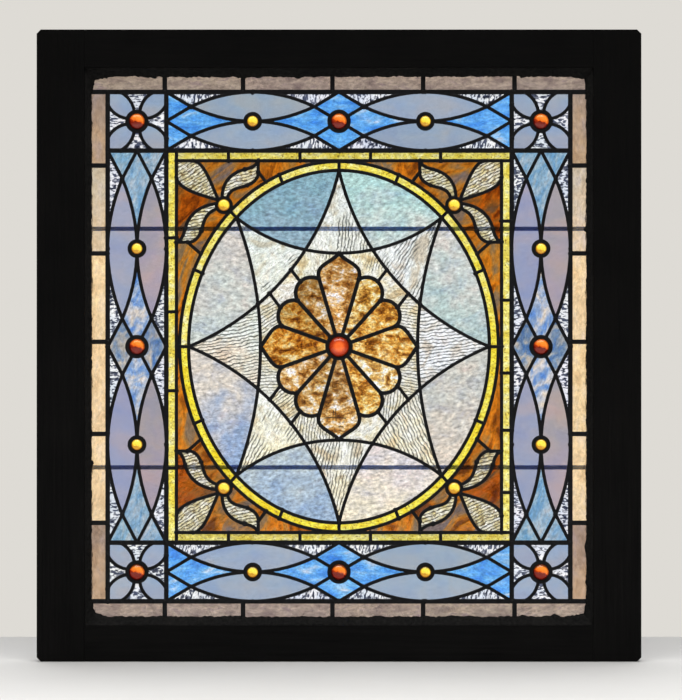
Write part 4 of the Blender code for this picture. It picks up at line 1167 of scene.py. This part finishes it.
# Kinds of glass. Sizes are in metres and colours as they look on screen. A ripple is its spacing, width
# and shade, specks are their size, length, threshold and shade, and fine grain is its size and strength.
PLAIN = dict(
    rough=0.10, clear=0.82, size=0.020, stretch=1.5, detail=5.0, distortion=0.4, bump=0.0005,
    relief=0.0003, relief_size=0.012, pitch=0.004, waver=7.0, waver_scale=0.55, grain=0.55,
    fine=(0.0024, 0.08),
)


def sheet(slot, *colours, **changes):
    """A kind of glass: its slot, (place in the streaks, colour) pairs, and what isn't plain about it."""
    return PLAIN | {"slot": slot, "colours": colours} | changes


GLASSES = {
    "rose": sheet(
        "rose_border_glass",
        (0.34, (140, 122, 116)), (0.46, (162, 144, 132)), (0.56, (182, 164, 148)),
        (0.68, (148, 128, 128)),
        size=0.010, stretch=2.5, relief=0.0004, fine=(0.0040, 0.34),
    ),
    "peach": sheet(
        "peach_border_glass",
        (0.36, (234, 200, 152)), (0.52, (252, 222, 174)), (0.66, (248, 222, 188)),
        size=0.012, stretch=2.0, relief=0.0004, fine=(0.0040, 0.22),
    ),
    "lavender": sheet(
        "lavender_glass",
        (0.36, (159, 164, 198)), (0.52, (171, 171, 196)), (0.66, (182, 173, 188)),
        size=0.040, rough=0.14, clear=0.90, bump=0.0002, relief=0.00015, relief_size=0.020,
        fine=(0.0040, 0.06),
    ),
    "clear_ripple": sheet(
        "white_ripple_glass",
        (0.36, (226, 234, 246)), (0.60, (254, 254, 255)),
        stretch=3.0, relief=0.0006, relief_size=0.006, pitch=0.0022,
        specks=(0.0032, 2.4, 0.53, (30, 36, 56)), fine=(0.0026, 0.20),
    ),
    "sky": sheet(
        "sky_blue_glass",
        (0.34, (66, 140, 232)), (0.48, (96, 174, 248)), (0.58, (126, 194, 250)),
        (0.70, (216, 226, 240)),
        size=0.012, stretch=3.0, fine=(0.0036, 0.36),
    ),
    "mottled_blue": sheet(
        "blue_opal_glass",
        (0.36, (92, 142, 214)), (0.46, (150, 178, 216)), (0.56, (204, 206, 214)),
        (0.68, (234, 220, 200)),
        size=0.014, stretch=1.5, distortion=0.8, fine=(0.0036, 0.34),
    ),
    "teal": sheet(
        "blue_opal_glass",
        (0.36, (104, 158, 200)), (0.48, (146, 182, 206)), (0.58, (170, 190, 204)),
        (0.70, (206, 212, 214)),
        size=0.010, stretch=2.5, distortion=0.9, fine=(0.0036, 0.36),
    ),
    "yellow": sheet(
        "yellow_pebbled_glass",
        (0.36, (236, 214, 70)), (0.52, (255, 242, 118)), (0.66, (255, 252, 180)),
        size=0.009, stretch=1.3, relief=0.0007, relief_size=0.006, pitch=0.0026,
        specks=(0.0022, 1.2, 0.64, (120, 96, 40)), fine=(0.0032, 0.40),
    ),
    "brown": sheet(
        "brown_amber_glass",
        (0.38, (114, 58, 10)), (0.46, (204, 118, 22)), (0.53, (174, 118, 48)), (0.61, (124, 104, 88)),
        size=0.024, stretch=2.4, distortion=0.8, fine=(0.0044, 0.40),
    ),
    "cream": sheet(
        "white_ripple_glass",
        (0.36, (212, 196, 136)), (0.48, (228, 222, 188)), (0.62, (242, 242, 232)),
        size=0.008, relief=0.0006, relief_size=0.006, pitch=0.0026, ripple=(0.0044, 0.34, (66, 56, 40)),
        waver_scale=0.8, specks=(0.0028, 1.8, 0.62, (120, 92, 54)), fine=(0.0034, 0.55),
    ),
    "star": sheet(
        "white_ripple_glass",
        (0.36, (232, 222, 206)), (0.45, (258, 262, 262)), (0.56, (264, 270, 278)),
        (0.68, (250, 238, 224)),
        size=0.030, stretch=1.2, distortion=0.6, relief=0.0006, relief_size=0.008, pitch=0.0026,
        ripple=(0.0048, 0.32, (36, 42, 42)), waver=9.0, specks=(0.0019, 1.6, 0.64, (170, 168, 156)),
        fine=(0.0038, 0.46),
    ),
    "ground": sheet(
        "white_ripple_glass",
        (0.36, (216, 194, 150)), (0.45, (247, 240, 212)), (0.56, (254, 255, 248)),
        (0.68, (216, 206, 186)),
        size=0.022, stretch=1.2, distortion=0.6, relief=0.0005, relief_size=0.007, pitch=0.0026,
        ripple=(0.0044, 0.30, (48, 54, 50)), specks=(0.0019, 1.6, 0.63, (160, 154, 130)),
        fine=(0.0036, 0.46),
    ),
    "field": sheet(
        "blue_opal_glass",
        (0.34, (198, 200, 214)), (0.46, (216, 215, 216)), (0.56, (230, 226, 222)),
        (0.70, (224, 210, 208)),
        size=0.024, stretch=1.6, distortion=0.7, detail=9.0, grain=0.72, clear=0.92, relief=0.0004,
        relief_size=0.012, pitch=0.0032, fine=(0.0044, 0.52),
    ),
    "amber": sheet(
        "amber_streaky_glass",
        (0.39, (92, 50, 14)), (0.45, (168, 104, 34)), (0.50, (222, 166, 76)), (0.55, (240, 212, 158)),
        (0.60, (255, 252, 248)),
        size=0.011, stretch=1.4, distortion=0.4, detail=9.0, grain=0.74, relief=0.0004,
        relief_size=0.006, pitch=0.0026, fine=(0.0026, 0.62),
    ),
}

# Jewels: top, middle and low colours of painted shade, where the low one starts, and where rim shade starts
JEWEL_TONES = {
    "red": ((255, 112, 48), (250, 84, 28), (200, 40, 10), -1.0, 0.30),
    "orange": ((252, 146, 50), (232, 100, 26), (118, 22, 4), -0.12, 0.74),
    "gold": ((255, 234, 84), (252, 214, 52), (206, 150, 34), -0.34, 0.78),
}
# How the names of panes end, in the left and right bands and in the top and bottom ones
UPRIGHT = ("_left", "_right")
LEVEL = ("_top", "_bottom")


def each(start, *same, **others):
    """Rows of a table for panes whose names go on from the same start in different ways."""
    return [(start + end, "", *same, *other) for end, other in others.items()]


# Which glass a pane is cut from, by how its name starts and ends, the way of its grain in degrees, and how
# much of it is rippled, from 0 to 1
KINDS = (
    (("outer_half_diamond", "outer_diamond"), UPRIGHT, "teal", 70, 0),
    (("inner_diamond", "middle_diamond"), UPRIGHT, "mottled_blue", 70, 0.45),
    (("outer_half_diamond", "outer_diamond", "inner_diamond", "middle_diamond"), "", "sky", 0, 0),
    (("outer_triangle", "inner_triangle"), LEVEL, "clear_ripple", 80, 0.85),
    (("outer_triangle", "inner_triangle", "triangle"), "", "clear_ripple", 0, 0.85),
    (("outer_top", "outer_bottom"), "", "rose", 0, 0),
    ("outer_", "", "peach", 90, 0),
    (("petal", "lens"), "", "lavender", 0, 0),
    (("yellow", "ring"), "", "yellow", 0, 0),
    ("leaf_big", "", "cream", 30, 0.80),
    ("leaf", "", "cream", 15, 0.68),
    (("ground_beside", "ground_inner"), "", "brown", 40, 0),
    ("ground_outer", "", "brown", 80, 0),
    *each(
        "ground_", "ground",
        upper_ne=(80, 0.42), upper_nw=(85, 0.45), upper_sw=(80, 0.65), upper_se=(30, 0.35),
        diagonal_se=(80, 0.80), diagonal_sw=(40, 0.52), diagonal=(20, 0.30), lower_ne=(0, 0.75),
        lower_se=(0, 0.70), lower_nw=(35, 0.50), lower_sw=(3, 0.52),
    ),
    ("flower_petal", "", "amber", 0, 0),
    *each(
        "star_point_", "star",
        ne=(60, 0.50), nw=(40, 0.34), se=(-58, 0.68), sw=(60, 0.44), n=(85, 0.48), s=(78, 0.56),
        e=(2, 0.60), w=(14, 0.56),
    ),
    ("star_field", "", "field", 6, 0),
)
# Two tints over a pane's colour, and those of panes that differ: how their names start and end
PLAIN_TINTS = (255, 255, 255), (246, 248, 252)
TINTS = (
    *each(
        "star_field_",
        upper_nw=((152, 200, 218), (164, 200, 220)), upper_ne=((196, 240, 240), (222, 240, 238)),
        lower_nw=((228, 226, 224), (222, 234, 234)), lower_ne=((236, 240, 236), (206, 234, 234)),
        lower_sw=((242, 238, 226), (168, 196, 232)), lower_se=((226, 230, 226), (244, 236, 224)),
        upper_sw=((206, 222, 232), (172, 200, 234)), upper_se=((240, 238, 240), (255, 250, 228)),
    ),
    *each(
        "star_point_",
        n=((232, 236, 232), (240, 240, 230)), w=((236, 240, 232), (240, 222, 202)),
        s=((244, 242, 232), (248, 236, 206)),
    ),
    *each(
        "flower_petal_",
        n=((236, 240, 260), (270, 275, 300)), s=((225, 234, 265), (262, 275, 310)),
        e=((262, 258, 225), (275, 275, 260)), w=((255, 225, 150), (250, 240, 200)),
        upper_ne=((262, 275, 265), (270, 285, 300)), upper_nw=((200, 200, 205), (240, 240, 250)),
        upper_se=((255, 240, 200), (262, 262, 230)), upper_sw=((240, 250, 270), (262, 275, 310)),
        lower_ne=((258, 250, 205), (268, 266, 230)), lower_nw=((215, 195, 140), (236, 225, 180)),
        lower_se=((268, 285, 310), (275, 300, 340)), lower_sw=((240, 240, 260), (268, 275, 300)),
    ),
    ("yellow_top", "", (222, 224, 240), (236, 236, 246)),
    ("yellow_bottom", "", (220, 220, 236), (236, 236, 244)),
    ("yellow_left", "", (250, 248, 225), (255, 255, 290)),
    ("yellow_right", "", (250, 250, 270), (255, 255, 300)),
    ("ring", "_nw", (255, 255, 255), (255, 255, 290)),
    ("ring", "_ne", (255, 255, 270), (255, 250, 190)),
    ("ring", "_sw", (255, 248, 165), (255, 244, 130)),
    ("ring", "_se", (255, 248, 150), (255, 252, 200)),
    (("outer_left_0", "outer_right_0"), "", (170, 168, 190), (196, 190, 200)),
    (("outer_left_5", "outer_right_5"), "", (170, 172, 200), (200, 196, 206)),
    (("outer_left_4", "outer_right_4"), "", (214, 226, 255), (232, 236, 255)),
    *each(
        "ground_",
        beside_side=((236, 200, 140), (220, 190, 160)), beside_top=((240, 250, 275), (250, 262, 300)),
        outer=((270, 268, 235), (280, 280, 270)),
    ),
    ("middle_diamond", UPRIGHT, (205, 207, 205), (225, 225, 220)),
    ("petal", "", (222, 250, 250), (232, 246, 240)),
    (("lens_sw", "lens_se"), UPRIGHT, (236, 240, 240), (228, 240, 244)),
    ("lens", UPRIGHT, (244, 236, 212), (252, 236, 220)),
    ("lens", "", (222, 250, 246), (228, 248, 240)),
)


def found_in(table, name):
    """What the rows of a table say of a pane, by how its name starts and ends. The first one counts."""
    return [rest for starts, ends, *rest in table if name.startswith(starts) and name.endswith(ends)]


def tints_of(name, rng):
    """The two tints of a pane, a little off, as no two cuts of a sheet are alike."""
    tints = [*found_in(TINTS, name), PLAIN_TINTS][0]
    change = rng.uniform(0.93, 1.0) * np.array([1, rng.uniform(0.97, 1.0), rng.uniform(0.95, 1.0), 1])
    return [np.array(lin(*tint)) * change for tint in tints]


def all_panes():
    return fused_panes() + flower_petals() + star_points() + star_fields()


def add_glass():
    groups = {}
    rng = np.random.default_rng(GLASS_SEED)
    for seed, (name, sides) in enumerate(all_panes()):
        kind, turn, rippled = found_in(KINDS, name)[0]
        turn = math.radians(turn + rng.uniform(-CUT_TURN_DEG, CUT_TURN_DEG))
        part = pane_solid(sides, GLASSES[kind], turn, seed)
        shift = rng.uniform(-SHEET_REACH, SHEET_REACH, 3)
        groups.setdefault(kind, []).append((name, part, turn, rippled, shift, *tints_of(name, rng)))
    for kind, panes in groups.items():
        glass = GLASSES[kind]
        names, parts, turns, shares, shifts, tints, far_tints = zip(*panes)
        heights = [vertices[:, 2] for vertices, _ in parts]
        values = (
            ("turn", "FLOAT", turns),
            ("rippled", "FLOAT", shares),
            ("shift", "FLOAT_VECTOR", shifts),
            ("tint", "FLOAT_COLOR", tints),
            ("far_tint", "FLOAT_COLOR", far_tints),
            ("down", "FLOAT", np.concatenate([(z.max() - z) / np.ptp(z) for z in heights])),
        )
        obj = joined(f"glass_{kind}", parts, values)
        obj.data.materials.append(glass_material(f"Glass {kind.replace('_', ' ')}", glass))
        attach(obj, "root")
        replaced = [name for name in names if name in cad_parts]
        if replaced:
            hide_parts(*replaced)


def solder_places(panes):
    """Where cames meet, away from the panel's edge and the jewels."""
    cells = {}
    for _, sides in panes:
        for points, _ in sides:
            for joint in (points[0], points[-1]):
                cells.setdefault(tuple(np.round(joint / SAME_JOINT).astype(int)), joint)
    limits = PANEL_X - CLEAR_OF_EDGE, PANEL_Z - CLEAR_OF_EDGE
    inner = [p for p in cells.values() if all(abs(p) < limits)]
    rings = [(at, size / 2 + CLEAR_OF_JEWEL) for _, at, size, _ in jewels()]
    return [p for p in inner if all(math.dist(p, at) > radius for at, radius in rings)]


def add_lead_net():
    panes = all_panes()
    parts = [collar(pane_rows(sides)) for _, sides in panes]
    parts += [collar(jewel_rows(centre, diameter)) for _, centre, diameter, _ in jewels()]
    parts += [solder(p, seed) for seed, p in enumerate(solder_places(panes))]
    lead = joined("lead_cames", parts)
    tones = (0.0025, 0.0025, 0.003), (0.011, 0.011, 0.013)
    finish = dark_material("Weathered lead", *tones, (0.006, 0.006, 0.006), 0.55, 0.0004, 0.2)
    lead.data.materials.append(finish)
    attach(lead, "root")
    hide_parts("lead_came_matrix")


def jewel_solid(centre, diameter):
    """A pressed dome with a low flange."""
    radius = diameter / 2 + TUCK
    width, height = radius * DOME_SHARE, JEWEL_DOME * diameter
    low = GLASS_FRONT
    profile = [(0.0, low - height)]
    for angle in np.radians(range(DOME_STEP_DEG, 90, DOME_STEP_DEG)):
        profile.append((width * math.sin(angle), low - height * math.cos(angle)))
    profile += [(width, low), (radius, low), (radius, GLASS_BACK), (radius * BACK_SHARE, GLASS_BACK)]
    points, faces = [(centre[0], profile[0][1], centre[1] + MIDDLE_Z)], []
    for reach, depth in profile[1:]:
        for turn in np.linspace(0, 2 * math.pi, JEWEL_TURNS, endpoint=False):
            x, z = centre[0] + reach * math.cos(turn), centre[1] + reach * math.sin(turn)
            points.append((x, depth, z + MIDDLE_Z))
    for i in range(JEWEL_TURNS):
        k = (i + 1) % JEWEL_TURNS
        faces.append((0, 1 + i, 1 + k))
        for ring in range(len(profile) - 2):
            a, b = 1 + ring * JEWEL_TURNS, 1 + (ring + 1) * JEWEL_TURNS
            faces.append((a + i, b + i, b + k, a + k))
    last = 1 + (len(profile) - 2) * JEWEL_TURNS
    faces.append(tuple(last + i for i in reversed(range(JEWEL_TURNS))))
    return np.array(points), faces


def add_jewel_glass():
    for colour, tones in JEWEL_TONES.items():
        chosen = [(name, centre, diameter) for name, centre, diameter, kind in jewels() if kind == colour]
        parts = [jewel_solid(centre, diameter) for _, centre, diameter in chosen]
        places = []
        for (vertices, _), (_, centre, diameter) in zip(parts, chosen):
            middle = np.array([centre[0], GLASS_FRONT, centre[1] + MIDDLE_Z])
            places.append((vertices - middle) / (diameter / 2))
        obj = joined(f"jewels_{colour}", parts, [("place", "FLOAT_VECTOR", np.vstack(places))])
        obj.data.materials.append(jewel_material(f"Jewel {colour}", *tones))
        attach(obj, "root")
        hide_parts(*(name for name, _, _ in chosen))


def add_cracks():
    parts = []
    for crack in CRACKS:
        for start, end in zip(crack[:-1], crack[1:]):
            start, end = np.array(start), np.array(end)
            ahead = (end - start) / math.dist(start, end)
            side = np.array([-ahead[1], ahead[0]]) * CRACK_WIDTH / 2
            corners = np.array([start - side, end - side, end + side, start + side])
            faces = np.array([(0, 1, 2), (0, 2, 3)])
            parts.append(solid(corners, faces, np.full(4, GLASS_FRONT - CRACK_RISE), np.full(4, GLASS_FRONT)))
    cracks = joined("cracks", parts, smooth=False)
    # The cracks are drawn as thin dark strips on the glass
    made, _, _ = new_material("Dark crack line", Base_Color=(0.02, 0.015, 0.01, 1), Roughness=0.8)
    cracks.data.materials.append(made)
    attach(cracks, "root")


# Putty, sash and bars
def putty_run(wall_x, wall_z):
    """Points round the bead, as shares of the half sizes of the opening."""
    corners = [(-1, -1), (1, -1), (1, 1), (-1, 1)]
    run = []
    for (x0, z0), (x1, z1) in zip(corners, corners[1:] + corners[:1]):
        length = 2 * (wall_x if z0 == z1 else wall_z)
        for t in np.arange(0, 1, PUTTY_STEP / length):
            run.append((x0 + (x1 - x0) * t, z0 + (z1 - z0) * t))
    return np.array(run)


def add_ragged_putty():
    """A fillet of old putty whose toe is ragged on the glass."""
    wall_x, wall_z = REBATE_X - FIT_GAP, REBATE_Z - FIT_GAP
    run = putty_run(wall_x, wall_z)
    count = len(run)
    way = np.arange(count) * PUTTY_STEP
    around = way / way[-1] * 2 * math.pi

    def uneven(size, seed):
        return noise(np.cos(around) * 0.5, np.sin(around) * 0.5, size, seed)

    ragged = RAGGED * (uneven(SMALL_RAGS, 3) - 0.5) + RAGGED * (uneven(LARGE_RAGS, 4) - 0.5)
    blobs = np.clip(uneven(BLOBS, 5) - BLOBS_ABOVE, 0, 1) * BLOBS
    lumps = LUMPS * (uneven(LUMP_SIZE, 8) - 0.5)
    gaps = 1 - abs(run)
    from_corner = gaps.min(axis=1) + gaps.max(axis=1)
    swell = CORNER_SWELL * np.clip(1 - from_corner * wall_x / CORNER_REACH, 0, 1)
    reach_x = PUTTY_SIDE + ragged + blobs + swell
    reach_z = PUTTY_END + ragged + blobs + swell
    vertices = []
    for share, rise in PUTTY_SECTION:
        x = run[:, 0] * (wall_x - share * reach_x)
        z = run[:, 1] * (wall_z - share * reach_z)
        depth = np.full(count, PANEL_FRONT - FIT_GAP - PUTTY_DEPTH * rise)
        vertices.append(np.column_stack([x, depth + (lumps if 0 < share < 1 else 0), z + MIDDLE_Z]))
    rows = len(PUTTY_SECTION)
    faces = []
    for i in range(count):
        k = (i + 1) % count
        for row in range(rows):
            after = (row + 1) % rows
            faces.append((row * count + i, row * count + k, after * count + k, after * count + i))
    putty = joined("putty_bead", [(np.vstack(vertices), faces)])
    tones = (0.002, 0.002, 0.002), (0.010, 0.009, 0.008)
    putty.data.materials.append(dark_material("Old putty", *tones, (0.004, 0.004, 0.004), 0.85, 0.0010, 0.2))
    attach(putty, "root")
    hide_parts("glazing_putty")


def add_sash():
    """The sash members with their edges eased, and their grain along them."""
    tones = (0.0010, 0.0009, 0.0009), (0.0045, 0.0040, 0.0036)
    upright = dark_material("Dark wood, upright", *tones, (0.004, 0.004, 0.110), 0.55, 0.0006, 0.10)
    level = dark_material("Dark wood, level", *tones, (0.110, 0.004, 0.004), 0.55, 0.0006, 0.10)
    for name in ("frame_stile_left", "frame_stile_right", "frame_rail_top", "frame_rail_bottom"):
        obj = bpy.data.objects.new(name.replace("frame", "sash"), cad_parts[name].data.copy())
        bpy.context.scene.collection.objects.link(obj)
        obj.data.materials.clear()
        obj.data.materials.append(upright if "stile" in name else level)
        eased = obj.modifiers.new("Eased edges", "BEVEL")
        eased.width = EASED_EDGE
        eased.segments = 3
        eased.limit_method = "ANGLE"
        eased.angle_limit = math.radians(EASED_DEG)
        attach(obj, "root")
        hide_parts(name)


def add_bar_paint_and_painted_light():
    # Blue paint on the bars, made bright enough to stand in for the bluish light seen on them through the
    # glass: partly painted light
    tones = (0.002, 0.150, 0.780), (0.004, 0.200, 0.900)
    finish = dark_material("Saddle bar", *tones, (0.01, 0.01, 0.01), 0.5, 0.0003, 0.3)
    for name in ("saddle_bar_upper", "saddle_bar_lower"):
        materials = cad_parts[name].data.materials
        materials.clear()
        materials.append(finish)


# Room, light and camera
def add_floor():
    mesh = bpy.data.meshes.new("floor")
    corners = [(-FLOOR_X, FLOOR_FRONT), (FLOOR_X, FLOOR_FRONT), (FLOOR_X, FLOOR_BACK), (-FLOOR_X, FLOOR_BACK)]
    mesh.from_pydata([(x, y, -FLOOR_GAP) for x, y in corners], [], [(0, 1, 2, 3)])
    floor = bpy.data.objects.new("floor", mesh)
    bpy.context.scene.collection.objects.link(floor)
    made, tree, shader = new_material("Pale floor", Roughness=0.8)
    place = add(tree, "ShaderNodeTexCoord").outputs["Object"]
    grain = noise_of(tree, stretched(tree, place, (0.5, 0.5, 0.5)), detail=4.0)
    colour = ramp(tree, grain, [(0.3, (0.70, 0.69, 0.67, 1)), (0.7, (0.76, 0.75, 0.73, 1))])
    tree.links.new(colour, shader.inputs["Base Color"])
    mesh.materials.append(made)


def add_light():
    """Soft daylight that is strongest behind the window."""
    world = bpy.data.worlds.new("Daylight")
    bpy.context.scene.world = world
    world.use_nodes = True
    tree = world.node_tree
    tree.nodes.clear()
    direction = add(tree, "ShaderNodeTexCoord").outputs["Generated"]
    ahead = add(tree, "ShaderNodeSeparateXYZ", {"Vector": direction}).outputs["Y"]
    inputs = {"Value": ahead, "From Min": 0.0, "From Max": 0.55, "To Min": FRONT_LIGHT, "To Max": BACK_LIGHT}
    strength = add(tree, "ShaderNodeMapRange", inputs).outputs["Result"]
    daylight = add(tree, "ShaderNodeBackground", {"Strength": strength})
    wall = add(tree, "ShaderNodeBackground", {"Color": lin(222, 219, 213)})
    seen = add(tree, "ShaderNodeLightPath").outputs["Is Camera Ray"]
    both = add(tree, "ShaderNodeMixShader", {0: seen, 1: daylight.outputs[0], 2: wall.outputs[0]})
    output = tree.nodes.new("ShaderNodeOutputWorld")
    tree.links.new(both.outputs[0], output.inputs["Surface"])
    lamp = bpy.data.lights.new("Soft overhead", "AREA")
    lamp.shape = "RECTANGLE"
    lamp.size, lamp.size_y = 2.4, 1.0
    lamp.energy = FLOOR_WATTS
    lamp.spread = math.radians(100)
    overhead = bpy.data.objects.new("Soft overhead", lamp)
    overhead.location = (0, -0.9, 2.0)
    bpy.context.scene.collection.objects.link(overhead)


def add_camera():
    data = bpy.data.cameras.new("Camera")
    data.lens = LENS_MM
    data.sensor_width = SENSOR_MM
    data.clip_start = 0.05
    camera = bpy.data.objects.new("Camera", data)
    camera.location = (AIM[0], AIM[1] - VIEW_HEIGHT * LENS_MM / SENSOR_MM, AIM[2])
    camera.rotation_euler = (math.pi / 2, 0, 0)
    bpy.context.scene.collection.objects.link(camera)
    bpy.context.scene.camera = camera


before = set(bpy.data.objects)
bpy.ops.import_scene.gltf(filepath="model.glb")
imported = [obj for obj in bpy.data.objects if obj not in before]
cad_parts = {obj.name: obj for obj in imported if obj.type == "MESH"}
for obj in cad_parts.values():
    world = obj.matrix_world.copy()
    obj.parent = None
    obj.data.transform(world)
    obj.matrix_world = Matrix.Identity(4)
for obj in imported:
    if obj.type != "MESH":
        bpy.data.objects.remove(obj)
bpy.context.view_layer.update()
bpy.context.scene.view_settings.view_transform = "Standard"
add_camera()
add_light()
add_floor()
add_sash()
add_bar_paint_and_painted_light()
add_ragged_putty()
add_lead_net()
add_glass()
add_jewel_glass()
add_cracks()
bpy.context.view_layer.update()
